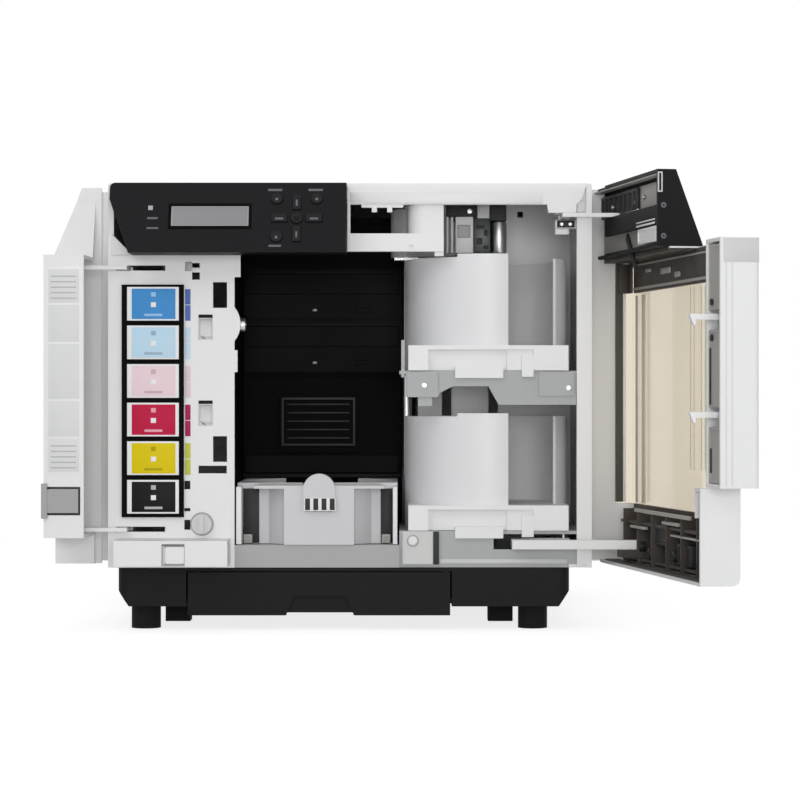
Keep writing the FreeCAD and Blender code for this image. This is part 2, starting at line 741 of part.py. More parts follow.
def ink_bay_panel():
    """White front plate of the ink bay, with its step, catch slots, hinge slots, pin lugs and lobed edge."""
    plate = Piece("ink_bay_panel")
    plate.add("y", [rect("bay_panel_left", "deck", "bay_panel_right", "slant_bottom")], "0", "shell")
    plate.add("y", [disk("bay_panel_right + lobe_proud - lobe_radius", "catch_high + 2.4", "lobe_radius")], "0",
              "shell")
    plate.add("y", [
        rect("bay_panel_right", "slant_bottom - 17", "bay_panel_right + lobe_proud", "slant_bottom"),
        rect("bay_panel_right", "catch_high - 35", "bay_panel_right + lobe_proud / 2", "catch_high - 18"),
    ], "0", "shell")
    plate.cut("y", [rect("cage_left", "cage_low", "cage_right", "cage_high")], "0", "shell")
    arm_slots = [rect("bay_panel_left + 2", "%s - 0.5" % low, "ink_pin_x + 31",
                      "%s + ink_arm_thick + 0.5" % low)
                 for low in ("ink_arm_upper", "ink_arm_lower")]
    plate.cut("y", arm_slots, "0", "shell")
    catches = [rect("catch_x - 5", "%s - 9" % high, "catch_x + 5", "%s + 9" % high) for high in ("catch_high",
                                                                                                 "catch_low")]
    plate.cut("y", catches, "0", "shell")
    plate.cut("y", [
        rect("catch_x + 5.8", "catch_high + 15", "catch_x + 16.7", "catch_high + 35"),
        rect("catch_x + 5.8", "catch_low - 38", "catch_x + 16.7", "catch_low - 18"),
        rect("catch_x - 10.5", "slant_bottom - 19", "catch_x - 4.5", "slant_bottom - 6"),
        rect("catch_x - 5.5", "catch_low - 47", "catch_x + 16.5", "catch_low - 41"),
        disk("lock_x", "lock_z", "lock_radius - 3"),
    ], "0", "shell")
    plate.add("y", [rect("step_left", "step_low", "step_right", "step_high")], "-cover_front", "0")
    plate.cut("y", [rect("step_left + shell", "step_low + shell", "step_right - shell", "step_high - shell")],
              "-cover_front + 14", "shell")
    plate.cut("y", [grow(power_outline())], "-cover_front", "-cover_front + 14")
    for low in ("ink_arm_upper", "ink_arm_lower"):
        for bottom, top in (("%s - 4.5" % low, "%s - 0.6" % low),
                            ("%s + ink_arm_thick + 0.6" % low, "%s + ink_arm_thick + 4.5" % low)):
            plate.add("z", [rect("ink_pin_x - 7", "shell", "ink_pin_x + 7", "ink_pin_y + 8")], bottom, top)
            plate.cut("z", [disk("ink_pin_x", "ink_pin_y", "pin_radius + bore_play")], bottom, top)


def power_outline():
    """Outline of the power button."""
    return rect("power_x - power_width / 2", "power_z - power_height / 2",
                "power_x + power_width / 2", "power_z + power_height / 2")


def power_button():
    """Square power button in the step under the ink bay."""
    button = Piece("power_button")
    button.add("y", [power_outline()], "-cover_front - 1", "-cover_front + 10")
    button.soften("1.5", "y")
    button.add("y", [rect("power_x - 3", "power_z - 3", "power_x + 3", "power_z + 3")],
               "-cover_front + 10", "-cover_front + 11.5")


def ink_bay_lock():
    """Round lock knob beside the cartridges, on a stem through the plate, with a grip bar."""
    knob = Piece("ink_bay_lock")
    knob.add("y", [disk("lock_x", "lock_z", "lock_radius")], "-6", "-0.3")
    knob.add("y", [rect("lock_x - 1.6", "lock_z - lock_radius + 1.2", "lock_x + 1.6",
                        "lock_z + lock_radius - 1.2")],
             "-8.5", "-6")
    knob.add("y", [disk("lock_x", "lock_z", "lock_radius - 3 - bore_play")], "-0.3", "shell + 0.3")
    knob.add("y", [square("lock_x", "lock_z", "(lock_radius - 2)")], "shell + 0.3", "shell + 2")


def ink_cage():
    """Black cage with six cells for the cartridges."""
    cage = Piece("ink_cage")
    cage.add("y", [rect("cage_left", "cage_low", "cage_right", "cage_high")], "-cage_front", "cage_back")
    cells = [rect("cell_left", "cage_low + %d * cell_pitch + divider" % i,
                  "cell_right", "cage_low + %d * cell_pitch - 0.4" % (i + 1)) for i in range(6)]
    cage.cut("y", cells, "-cage_front", "cage_back - 8")
    spouts = [square("(cell_left + cell_right) / 2", "(cage_low + %d * cell_pitch + cell_pitch / 2)" % i,
                     "2") for i in range(6)]
    cage.add("y", spouts, "cage_back - 16", "cage_back - 8")


def ink_cartridges():
    """Six cartridges that slide out of the cage, black at the bottom."""
    for i in range(6):
        low = "cage_low + %d * cell_pitch + divider + cartridge_play" % i
        high = "cage_low + %d * cell_pitch - 0.4 - cartridge_play" % (i + 1)
        left = "cell_left + cartridge_play"
        right = "cell_right - cartridge_play"
        tank = Piece("ink_cartridge_%d" % (i + 1))
        tank.add("y", [rect(left, low, right, high)], "-cartridge_front", "cartridge_back")
        port = square("(cell_left + cell_right) / 2", "(cage_low + %d * cell_pitch + cell_pitch / 2)" % i,
                      "2.6")
        tank.cut("y", [port], "cartridge_back - 10", "cartridge_back")
        tank.cut("x", [rect("20", low, "90", low + " + 2")], "(cell_left + cell_right) / 2 - 4",
                 "(cell_left + cell_right) / 2 + 4")


def ink_cover():
    """Narrow white cover of the ink bay: a shell with rims, its wedge beside the control panel and a leg."""
    cover = Piece("ink_cover")
    left = "-side"
    profile = [("-cover_front", "cover_floor"), ("-cover_front", "slant_bottom"), ("slant_back", "cover_top"),
               ("-cover_rear", "cover_top"), ("-cover_rear", "cover_floor")]
    cover.add("x", [profile], left, "ink_cover_right")
    above = [("panel_left + panel_notch_width - 2.5", "ink_cover_high"), ("1", "ink_cover_high"),
             ("1", "cover_top + 1"),
             (left + " + shell", "cover_top + 1"), (left + " + shell", "panel_notch_top")]
    below = rect(left + " + ink_leg_width", "cover_floor - 1", "1", "ink_cover_low")
    cover.cut("y", [above, below], "-cover_front - 1", "0")
    cover.soften("7", "z", x="min", y="min")
    inner = rect(left + " + shell", "ink_cover_low + shell", "ink_cover_right - shell",
                 "ink_cover_high - shell")
    cover.cut("y", [inner], "-cover_front + shell", "0")
    leg = rect(left + " + shell", "cover_floor + shell", left + " + ink_leg_width - shell",
               "ink_cover_low + shell")
    cover.cut("y", [leg], "-cover_front + shell", "0")
    wedge = [(left + " + shell", "ink_cover_high - shell"),
             ("panel_left + panel_notch_width - 6", "ink_cover_high - shell"),
             (left + " + shell + 2.5", "panel_notch_top - 8"), (left + " + shell", "panel_notch_top - 2")]
    cover.cut("y", [wedge], "-cover_front + 14", "0")
    cover.cut("y", [rect(left + " + shell", "cover_floor - 1", "1", "cover_top + 1")], "-ink_rim_rear", "0")
    cover.swing("ink_pin_x", "ink_pin_y", "ink_open", -1)


def ink_cover_arms():
    """Two flat cranked hinge arms of the ink cover, each with an eye for its pin."""
    arms = Piece("ink_cover_arms")
    half = "arm_strip / 2"
    crank = [
        ("ink_pin_x", "ink_pin_y - %s" % half), ("ink_pin_x + ink_arm_reach - %s" % half,
                                                 "ink_pin_y - %s" % half),
        ("ink_pin_x + ink_arm_reach - %s" % half, "-cover_front + shell"),
        ("ink_pin_x + ink_arm_reach + %s" % half, "-cover_front + shell"),
        ("ink_pin_x + ink_arm_reach + %s" % half, "ink_pin_y + %s" % half),
        ("ink_pin_x", "ink_pin_y + %s" % half),
    ]
    for low in ("ink_arm_upper", "ink_arm_lower"):
        high = "%s + ink_arm_thick" % low
        arms.add("z", [crank], low, high)
        arms.add("z", [square("ink_pin_x", "ink_pin_y", "eye_half")], low, high)
        arms.cut("z", [disk("ink_pin_x", "ink_pin_y", "pin_radius + bore_play")], low, high)
    arms.swing("ink_pin_x", "ink_pin_y", "ink_open", -1)


def ink_cover_latch():
    """Grey push latch on the free edge of the ink cover."""
    latch = Piece("ink_cover_latch")
    near = "ink_cover_right + slide_play"
    latch.add("x", [rect("-cover_front + 3", "latch_low + 4.5", "-ink_rim_rear - 4", "latch_high - 4.5")],
              near, near + " + 1.6")
    latch.add("x", [rect("-cover_front - 1.5", "latch_low", "-cover_front + 3", "latch_high")], near,
              near + " + 2.4")
    latch.swing("ink_pin_x", "ink_pin_y", "ink_open", -1)


def disc_cover_frame():
    """White frame of the disc cover: lower band with a raised free end, side wall and the window's top rail."""
    right = "side"
    frame = Piece("disc_cover_frame")
    frame.add("z", [rect("disc_cover_left", "-cover_front", right, "-cover_rear")], "cover_floor", "window_low")
    frame.soften("window_corner", "z", x="max", y="min")
    frame.soften("6", "x", z="min", y="min")
    frame.add("z", [rect("disc_cover_left", "-cover_front", "end_block_right", "-disc_rim_rear")],
              "window_low", "end_block_high")
    frame.cut("z", [rect("disc_cover_left + shell", "-cover_front + shell", right + " - window_corner", "0"),
                    ], "cover_floor + shell", "window_low")
    frame.cut("z", [rect(right + " - window_corner", "-cover_front + window_corner", right + " - shell", "0")],
              "cover_floor + shell", "window_low")
    frame.cut("z", [[(right + " - window_corner", "-cover_front + shell"),
                     (right + " - shell - 3.6", "-cover_front + shell + 3.6"),
                     (right + " - shell", "-cover_front + window_corner"),
                     (right + " - window_corner", "-cover_front + window_corner")]],
              "cover_floor + shell", "window_low")
    frame.cut("z", [rect("disc_cover_left + shell", "-cover_front + shell", "end_block_right - shell", "0")],
              "window_low", "end_block_high - shell")
    frame.cut("z", [rect("disc_cover_left - 1", "-disc_rim_rear", right + " - shell", "0")],
              "cover_floor - 1", "end_block_high")
    frame.add("z", [rect(right + " - shell", "-cover_front + window_side + 0.2", right, "-cover_rear")],
              "window_low", "window_high")
    frame.add("z", [rect(right + " - shell", "-disc_rim_rear - 4", right, "-cover_rear")],
              "window_high", "cover_top")
    rail = [
        ("disc_cover_left", "-cover_front"), (right + " - window_corner", "-cover_front"),
        (right, "-cover_front + window_corner"), (right, "-disc_rim_rear - 4"),
        ("fairing_left", "-disc_rim_rear - 4"),
        ("fairing_left", "-cover_front + shell"), ("disc_cover_left", "-cover_front + shell"),
    ]
    frame.add("z", [rail], "window_high - rail_thick", "window_high")
    frame.swing("disc_pin_x", "disc_pin_y", "disc_open", 1)


def disc_cover_fairing():
    """Black top of the disc cover: a slanted shell with end caps and a beam along its rear edge."""
    right = "side"
    fairing = Piece("disc_cover_fairing")
    profile = [("-cover_front", "window_high"), ("-cover_front", "slant_bottom"), ("slant_back", "cover_top"),
               ("-fairing_rear", "cover_top"), ("-fairing_rear", "window_high")]
    fairing.add("x", [profile], "fairing_left", right)
    inner_low = "-cover_front + panel_face + shell * tan(slant)"
    inner_high = "slant_back + panel_face - shell * tan(slant)"
    hollow = [(inner_low, "window_high + shell"), (inner_high, "cover_top - shell"),
              ("0", "cover_top - shell"), ("0", "window_high + shell")]
    fairing.cut("x", [hollow], "fairing_left + shell", right + " - shell")
    fairing.cut("z", [rect(right + " - shell", "-disc_rim_rear - 4", right + " + 1", "0")],
                "window_high", "cover_top")
    fairing.cut("z", [rect("disc_pin_x - swing_reach", "-swing_gap", right + " - shell", "0")],
                "window_high", "cover_top")
    fairing.add("y", [rect("fairing_left + shell", "beam_low", "disc_pin_x - swing_reach", "beam_high")],
                "-fairing_rear - beam_thick", "-fairing_rear")
    fairing.swing("disc_pin_x", "disc_pin_y", "disc_open", 1)


def disc_cover_window():
    """Smoke-brown window that bends round the hinge corner."""
    right = "side"
    pane = Piece("disc_cover_window")
    pane.add("z", [rect("disc_cover_left", "-cover_front", right, "-cover_front + window_side")],
             "window_low", "window_high - rail_thick")
    pane.soften("window_corner", "z", x="max", y="min")
    pane.cut("z", [rect("disc_cover_left - 1", "-cover_front + shell", right + " - window_corner", "0")],
             "window_low", "window_high - rail_thick")
    pane.cut("z", [disk(right + " - window_corner", "-cover_front + window_corner", "window_corner - shell")],
             "window_low", "window_high - rail_thick")
    pane.cut("z", [rect(right + " - window_corner - 1", "-cover_front + window_corner", right + " - shell",
                        "0")],
             "window_low", "window_high - rail_thick")
    pane.cut("z", [rect("disc_cover_left - 1", "-cover_front - 1", "end_block_right", "0")], "window_low",
             "end_block_high")
    pane.swing("disc_pin_x", "disc_pin_y", "disc_open", 1)


def disc_cover_handle():
    """White handle column at the free edge: a shell open at the back, with two catch hooks."""
    handle = Piece("disc_cover_handle")
    handle.add("z", [rect("handle_left", "-handle_front", "disc_cover_left - 0.2", "-handle_rear")],
               "end_block_high + 1", "handle_high")
    handle.soften("3.5", "z", y="min")
    handle.cut("z", [rect("handle_left + shell", "-handle_front + shell", "disc_cover_left - shell", "0")],
               "end_block_high + 1 + shell", "handle_high - shell")
    for high in ("catch_high", "catch_low"):
        hook = [("-handle_front + shell", "%s - 2" % high), ("0", "%s - 2" % high), ("0", "%s - 5.5" % high),
                ("1.5", "%s - 5.5" % high), ("4.5", "%s + 2" % high),
                ("-handle_front + shell", "%s + 2" % high)]
        handle.add("x", [hook], "catch_x - 1.8", "catch_x + 1.8")
    handle.swing("disc_pin_x", "disc_pin_y", "disc_open", 1)


def disc_cover_liner():
    """Black inner linings of the disc cover: a ribbed one in the lower band and a plain one under the fairing."""
    right = "side"
    back = "-cover_front + shell"
    liner = Piece("disc_cover_liner")
    bands = [
        rect("disc_cover_left + shell + 1", "cover_floor + shell", right + " - window_corner", "window_low"),
        rect("disc_cover_left + 1", "window_high - 27", right + " - window_corner", "window_high - rail_thick"),
    ]
    liner.add("y", bands, back, back + " + 2")
    ribs = [rect("disc_cover_left + 8 + %d" % (40 * i), "cover_floor + shell",
                 "disc_cover_left + 10 + %d" % (40 * i),
                 "window_low - 3") for i in range(7)]
    liner.add("y", ribs, back + " + 2", "-disc_rim_rear - 12")
    shelves = [rect("disc_cover_left + 12", "window_low - %d" % down, right + " - window_corner",
                    "window_low - %d" % (down - 2))
               for down in (14, 42)]
    liner.add("y", shelves, back + " + 2", "-disc_rim_rear - 14")
    boss_x = "disc_pin_x - disc_arm_reach - 11"
    boss = rect(boss_x + " - 7", "lower_arm_low - 6", boss_x + " + 7", "lower_arm_low")
    liner.add("y", [boss], back + " + 2", "-disc_rim_rear")
    liner.swing("disc_pin_x", "disc_pin_y", "disc_open", 1)


def disc_cover_arms():
    """Two hinge arms of the disc cover: a flat upper crank and a thicker lower hook.

    They are drawn square to the axes and lean by their own angle on the closed cover.
    """
    arms = Piece("disc_cover_arms")
    corner = "disc_pin_x - disc_arm_reach"
    half = "arm_strip / 2"
    upper = [
        (corner + " - " + half, "disc_pin_y - upper_arm_length"),
        (corner + " + " + half, "disc_pin_y - upper_arm_length"),
        (corner + " + " + half, "disc_pin_y - " + half), ("disc_pin_x", "disc_pin_y - " + half),
        ("disc_pin_x", "disc_pin_y + " + half), (corner + " - " + half, "disc_pin_y + " + half),
    ]
    half = "lower_arm_strip / 2"
    loop = "disc_pin_y + lower_arm_loop"
    lower = [
        (corner + " - " + half, "disc_pin_y - lower_arm_length"),
        (corner + " + " + half, "disc_pin_y - lower_arm_length"),
        (corner + " + " + half, loop + " - " + half), ("disc_pin_x - " + half, loop + " - " + half),
        ("disc_pin_x - " + half, "disc_pin_y"), ("disc_pin_x + " + half, "disc_pin_y"),
        ("disc_pin_x + " + half, loop + " + " + half), (corner + " - " + half, loop + " + " + half),
    ]
    for outline, low, high in ((upper, "beam_high", "beam_high + disc_arm_thick"),
                               (lower, "lower_arm_low", "lower_arm_high")):
        arms.add("z", [outline], low, high)
        arms.add("z", [square("disc_pin_x", "disc_pin_y", "eye_half")], low, high)
        arms.cut("z", [disk("disc_pin_x", "disc_pin_y", "pin_radius + bore_play")], low, high)
    arms.swing("disc_pin_x", "disc_pin_y", "(disc_open - disc_arm_lean)", 1)


def hinge_pins():
    """Four upright hinge pins, two for each cover."""
    pins = Piece("hinge_pins")
    for low in ("ink_arm_upper", "ink_arm_lower"):
        pins.add("z", [disk("ink_pin_x", "ink_pin_y", "pin_radius")], "%s - 4.5" % low,
                 "%s + ink_arm_thick + 4.5" % low)
    pins.add("z", [disk("disc_pin_x", "disc_pin_y", "pin_radius")],
             "beam_high - 7", "beam_high + disc_arm_thick + 6")
    pins.add("z", [disk("disc_pin_x", "disc_pin_y", "pin_radius")], "deck", "lower_shelf - shelf_thick")


def bay_lining():
    """Black inside of the disc bay: its left wall, the blank over the drives and a locking stud."""
    lining = Piece("bay_lining")
    lining.add("z", [rect("bay_left - lining", "shell", "bay_left", "drive_front")], "deck", "bar_low")
    lining.add("y", [rect("bay_left - lining", "drive_1_floor + drive_height", "drive_right", "bar_low")],
               "drive_front", "drive_front + shell")
    lining.add("x", [disk("drive_front - 13", "drive_1_floor", "3")], "bay_left", "bay_left + 2.5")


def bay_floor():
    """Light grey floor of the disc bay with its front ledge."""
    floor = Piece("bay_floor")
    floor.add("x", [[("shell", "deck"), ("2 * shell", "deck"),
                     ("2 * shell", "bay_floor_high - shell"),
                     ("printer_room - shell", "bay_floor_high - shell"),
                     ("printer_room - shell", "deck"), ("printer_room", "deck"),
                     ("printer_room", "bay_floor_high"),
                     ("shell", "bay_floor_high")]], "bay_left", "room_left")


def upper_shelf():
    """Grey shelf under the first stacker, with an arched apron, its number block and a guide rib."""
    shelf = Piece("upper_shelf")
    shelf.add("z", [rect("room_left", "shelf_front", "room_right", "room_back - 3")],
              "upper_shelf - shelf_thick", "upper_shelf")
    shelf.cut("z", [disk("shaft_x", "shaft_y", "shaft_radius + 1.5")], "upper_shelf - shelf_thick",
              "upper_shelf")
    apron = [
        ("room_left + 5", "upper_shelf"), ("room_left + 5", "apron_low"), ("number_block", "apron_low"),
        ("number_block + 2", "apron_arch - 5"), ("number_block + 12", "apron_arch"), ("stack_x", "apron_arch"),
        ("stack_x + 8", "apron_low - 6"), ("room_right - 5", "apron_low - 6"),
        ("room_right - 5", "upper_shelf"),
    ]
    shelf.add("y", [apron], "shelf_front", "shelf_front + 3")
    shelf.add("y", [rect("room_left + 6", "apron_low", "number_block", "upper_shelf - 1")], "shelf_front - 2",
              "shelf_front")
    shelf.add("y", [rect("147.5", "apron_low + 1", "174.8", "upper_shelf - 1")], "shelf_front - 2",
              "shelf_front")
    shelf.add("y", [rect("53", "apron_low - 7", "64", "apron_low")], "shelf_front", "shelf_front + 3")
    shelf.add("z", [rect("room_left + 1.5", "shelf_front", "stack_x - stack_radius - 0.5", "shelf_front + 30")],
              "upper_shelf - 5", "upper_shelf + 24")


def lower_shelf():
    """Grey shelf under the second stacker, notched at the front for the lower hinge arm."""
    shelf = Piece("lower_shelf")
    shelf.add("z", [rect("room_left", "shelf_front", "room_right", "room_back - 3")],
              "lower_shelf - shelf_thick", "lower_shelf")
    lip = "side - casing_lip - slide_play"
    front = [
        ("room_left", "deck"), (lip, "deck"), (lip, "deck + shell"), ("column_left", "deck + shell"),
        ("column_left", "arm_notch_low"),
        ("arm_notch_left", "arm_notch_low"), ("arm_notch_left", "lower_shelf"), ("room_left", "lower_shelf"),
    ]
    shelf.add("y", [front], "shelf_front", "shelf_front + shell")
    shelf.add("y", [rect("room_left + 2", "deck + 2", "number_block", "lower_shelf")], "shelf_front - 2",
              "shelf_front")
    shelf.add("z", [rect("room_left", "shelf_front", "room_left + shell", "room_back - 3")],
              "deck", "lower_shelf - shelf_thick")
    shelf.add("z", [rect("room_left", "room_back - 3 - shell", lip, "room_back - 3")],
              "deck", "lower_shelf - shelf_thick")


def stacker(name, shelf):
    """Input stacker: a round well with a window at its front right, on a foot that rests on its shelf."""
    floor = "%s + slide_play" % shelf
    foot_top = "%s + foot_high" % floor
    rim = "%s + stack_height" % floor
    left = "stack_x - stack_half"
    right = "stack_x + stack_half"
    well = Piece(name)
    well.add("z", [rect(left, "stack_front", right, "stack_y")], floor, foot_top)
    well.add("z", [disk("stack_x", "stack_y", "stack_radius")], floor, foot_top)
    well.cut("z", [rect(left + " + shell", "stack_front + recess + shell", right + " - shell", "stack_y - 3")],
             floor, foot_top + " - flange")
    well.cut("y", [rect(left + " + 15.6", floor, right + " - 48", foot_top + " - flange")],
             "stack_front", "stack_front + recess")
    well.cut("y", [rect(right + " - 48", floor, right + " - 27.3", foot_top + " - flange")],
             "stack_front", "stack_front + recess / 3")
    well.add("y", [rect(left, floor, left + " + 15.6", foot_top),
                   rect(right + " - 27.3", floor, right, foot_top),
                   rect(left + " + 15.6", foot_top + " - flange", right + " - 27.3", foot_top)],
             "stack_front - 1.5", "stack_front")
    well.add("y", [rect("stack_x - 26", floor, "stack_x + 11.5", floor + " + 3")],
             "stack_front - 3", "stack_front + recess + shell")
    well.add("y", [rect("stack_x - 26", floor + " - 6", "stack_x + 11.5", floor + " + 3"),
                   rect("stack_x + 26", floor + " - 5", "stack_x + 35.2", floor + " + 12")],
             "stack_front - 3", "stack_front + 0.4")
    well.add("y", [rect("stack_x + 26", floor, "stack_x + 35.2", floor + " + 12")],
             "stack_front - 3", "stack_front + recess / 3")
    well.add("z", [disk("stack_x", "stack_y", "stack_radius"),
                   disk("stack_x", "stack_y", "stack_radius - stack_wall")],
             foot_top, rim)
    well.add("z", [disk("stack_x", "stack_y", "stack_radius"),
                   disk("stack_x", "stack_y", "stack_radius - stack_wall")],
             rim, rim + " + 2.5")
    far = "1.4 * stack_radius"
    keep_front = [("stack_x - 80", "stack_y - 80"), ("stack_x - 24", "stack_y - 80"),
                  ("stack_x - 24", "stack_y - 40"),
                  ("stack_x + 80", "stack_y - 40"), ("stack_x + 80", "stack_y + 80"),
                  ("stack_x - 80", "stack_y + 80")]
    well.cut("z", [keep_front], rim, rim + " + 2.5")
    window = [("stack_x", "stack_y"),
              ("stack_x + %s * sin(window_start)" % far, "stack_y - %s * cos(window_start)" % far),
              ("stack_x + %s * sin(window_end)" % far, "stack_y - %s * cos(window_end)" % far)]
    well.cut("z", [window], foot_top, rim + " + 3")
    middle = arm_reach()
    outside = "%s - %s" % (middle, far)
    slot = [on_arm(middle, "-arm_slot / 2"), on_arm(middle, "arm_slot / 2"),
            on_arm(outside, "arm_slot / 2"), on_arm(outside, "-arm_slot / 2")]
    well.cut("z", [slot], foot_top + " + 3", rim + " + 3")


def stacker_3():
    """Low output tray in the bay: a round well with a bellied front, a flat panel on it and a domed tab."""
    floor = "bay_floor_high + slide_play"
    brim = "tray_high - 4"
    belly_x = "bay_x + 2"
    tray = Piece("stacker_3")
    tray.add("z", [rect("tray_left", "tray_front + tray_step", "tray_right", "tray_back")], floor, "tray_high")
    tray.add("z", [disk(belly_x, "tray_front + 2 + tray_belly", "tray_belly")], floor, brim)
    tray.add("z", [rect(belly_x + " - tray_belly", "tray_front", belly_x + " + tray_belly",
                        "tray_front + tray_step")],
             brim, "tray_high - 1.5")
    tray.cut("z", [disk("bay_x", "tray_centre_y", "tray_radius")], floor + " + 3", "tray_high")
    tray.cut("z", [rect("bay_x - 30", "tray_centre_y", "bay_x + 30", "tray_back + 1")], floor + " + 3",
             "tray_high")
    tray.add("y", [rect("bay_x - 25.4", floor, "bay_x + 29.1", brim)], "tray_front - 1.5", "tray_front + 8")
    tab = "tray_high - 4.6"
    tray.add("y", [rect(belly_x + " - tab_half", "tray_high - 11", belly_x + " + tab_half", tab)],
             "tray_front - 5.5", "tray_front + 4")
    tray.add("y", [disk(belly_x, tab, "tab_half")], "tray_front - 5.5", "tray_front + 4")
    grooves = [rect("%s - 11 + %g" % (belly_x, 5.8 * i), "tray_high - 22", "%s - 7.4 + %g" % (belly_x, 5.8 * i),
                    "tray_high - 12")
               for i in range(4)]
    tray.cut("y", grooves, "tray_front - 1.5", "tray_front + 1.5")


def output_drawer():
    """Bottom drawer that slides on two ledges in the base."""
    drawer = Piece("output_drawer")
    left = "tunnel_left + drawer_gap"
    right = "tunnel_right - drawer_gap"
    face = [
        (left, "drawer_low"), ("-50", "drawer_low"), ("-44", "drawer_low + 15"), ("-3", "drawer_low + 15"),
        ("3", "drawer_low"), (right, "drawer_low"), (right, "tunnel_top - 0.7"), (left, "tunnel_top - 0.7"),
    ]
    drawer.add("y", [face], "base_front", "base_front + drawer_face")
    box_left = "tunnel_left + 7"
    box_right = "tunnel_right - 7"
    drawer.add("z", [rect(box_left, "base_front + drawer_face", box_right, "drawer_back")],
               "drawer_low + 2", "tunnel_top - 3.5")
    drawer.cut("z", [rect(box_left + " + shell", "base_front + drawer_face + shell", box_right + " - shell",
                          "drawer_back - shell")], "drawer_low + 2 + shell", "tunnel_top - 3.5")
    flanges = [rect("tunnel_left + 0.7", "ledge_high + slide_play", box_left, "ledge_high + slide_play + 2"),
               rect(box_right, "ledge_high + slide_play", "tunnel_right - 0.7", "ledge_high + slide_play + 2")]
    drawer.add("y", flanges, "base_front + 10", "drawer_back")


def drive(number):
    """Disc drive: chassis and front with the openings of its tray and its eject button."""
    floor = "drive_%d_floor" % number
    under = "drive_2_floor + drive_height" if number == 1 else "printer_high + 4.5"
    box = Piece("drive_%d" % number)
    box.add("y", [rect("drive_left", floor, "drive_right", floor + " + drive_height")],
            "drive_front", "drive_front + 3")
    box.add("y", [rect("drive_left", under, "drive_right", floor + " + drive_height")],
            "drive_front + 3", "drive_back")
    door = rect("bay_x - door_half - door_gap", floor + " + door_low - door_gap",
                "bay_x + door_half + door_gap",
                floor + " + door_high + door_gap")
    box.cut("y", [door], "drive_front", "drive_front + tray_depth + 8")
    hole = rect("eject_x - 6", floor + " + eject_high - 2", "eject_x + 6", floor + " + eject_high + 2")
    box.cut("y", [hole], "drive_front", "drive_front + 6")


def disc_tray(name, door_low, door_high, plate_low, front):
    """Sliding disc tray: door, plate with a round recess and the opening for the spindle."""
    tray = Piece(name)
    tray.add("y", [rect("bay_x - door_half", door_low, "bay_x + door_half", door_high)], front,
             front + " + shell")
    tray.add("z", [rect("bay_x - tray_half", front + " + shell", "bay_x + tray_half", front + " + tray_depth")],
             plate_low, plate_low + " + 5")
    centre_y = "%s + disc_behind_door" % front
    tray.cut("z", [disk("bay_x", centre_y, "disc_recess")], plate_low + " + 3", plate_low + " + 5")
    tray.cut("z", [rect("bay_x - 19", centre_y + " - 18", "bay_x + 19", front + " + tray_depth - 14")],
             plate_low, plate_low + " + 3")


def disc_trays():
    """Trays of both drives and of the printer."""
    for number in (1, 2):
        floor = "drive_%d_floor" % number
        disc_tray("drive_tray_%d" % number, floor + " + door_low", floor + " + door_high",
                  floor + " + door_low + 4", "drive_front")
    disc_tray("printer_tray", "slot_low + door_gap", "slot_high - door_gap", "slot_low + 2", "printer_front")


def eject_buttons():
    """Eject buttons of both drives."""
    for number in (1, 2):
        middle = "drive_%d_floor + eject_high" % number
        cap = Piece("eject_button_%d" % number)
        cap.add("y", [rect("eject_x - 6 + button_play", middle + " - 2 + button_play",
                           "eject_x + 6 - button_play",
                           middle + " + 2 - button_play")], "drive_front - 1", "drive_front + 4")


def printer_body():
    """Black disc printer in the bay: its case, the raised front frame and the slot of its tray."""
    body = Piece("printer_body")
    body.add("y", [rect("drive_left", "deck", "drive_right + 4", "printer_high + 4.5")], "printer_room",
             "printer_back")
    body.add("y", [rect("bay_left + 0.2", "printer_low", "room_left + 1", "printer_high")], "printer_front",
             "printer_room")
    body.cut("y", [rect("bay_x - door_half - door_gap", "slot_low", "bay_x + door_half + door_gap",
                        "slot_high")],
             "printer_front", "printer_front + tray_depth + 8")
    body.add("y", [rect("-61", "slot_high + 2", "3.2", "183")], "printer_front - 4", "printer_front")
    body.cut("y", [rect("-58", "slot_high + 5", "0.2", "180")], "printer_front - 4", "printer_front - 2.5")


def arm_shaft():
    """Steel shaft that carries the picker arm up and down."""
    shaft = Piece("arm_shaft")
    shaft.add("z", [disk("shaft_x", "shaft_y", "shaft_radius")], "lower_shelf", "roof")


def arm_carriage():
    """Flanged sleeve that slides on the shaft and carries the picker arm."""
    sleeve = Piece("arm_carriage")
    bore = disk("shaft_x", "shaft_y", "shaft_radius + bore_play")
    sleeve.add("z", [square("shaft_x", "shaft_y", "(sleeve_radius + 2)"), bore], "carriage_low",
               "carriage_low + 2")
    sleeve.add("z", [disk("shaft_x", "shaft_y", "sleeve_radius"), bore], "carriage_low + 2", "arm_top")


def picker_arm():
    """Light grey arm: a housing round the sleeve and a channel beam towards the stacker."""
    arm = Piece("picker_arm")
    low = "carriage_low + 2 + slide_play"
    arm.add("z", [disk("0", "0", "housing_radius")], low, "arm_top - 0.5")
    arm.add("z", [rect("0", "-beam_half", arm_reach() + " - 22", "beam_half")], low, "arm_top - 0.5")
    arm.cut("z", [rect("housing_radius + 1.5", "-beam_half + shell", arm_reach() + " - 22",
                       "beam_half - shell")],
            low, "arm_top - 3")
    arm.cut("z", [disk("0", "0", "sleeve_radius + bore_play")], low, "arm_top - 0.5")
    aim_arm(arm)


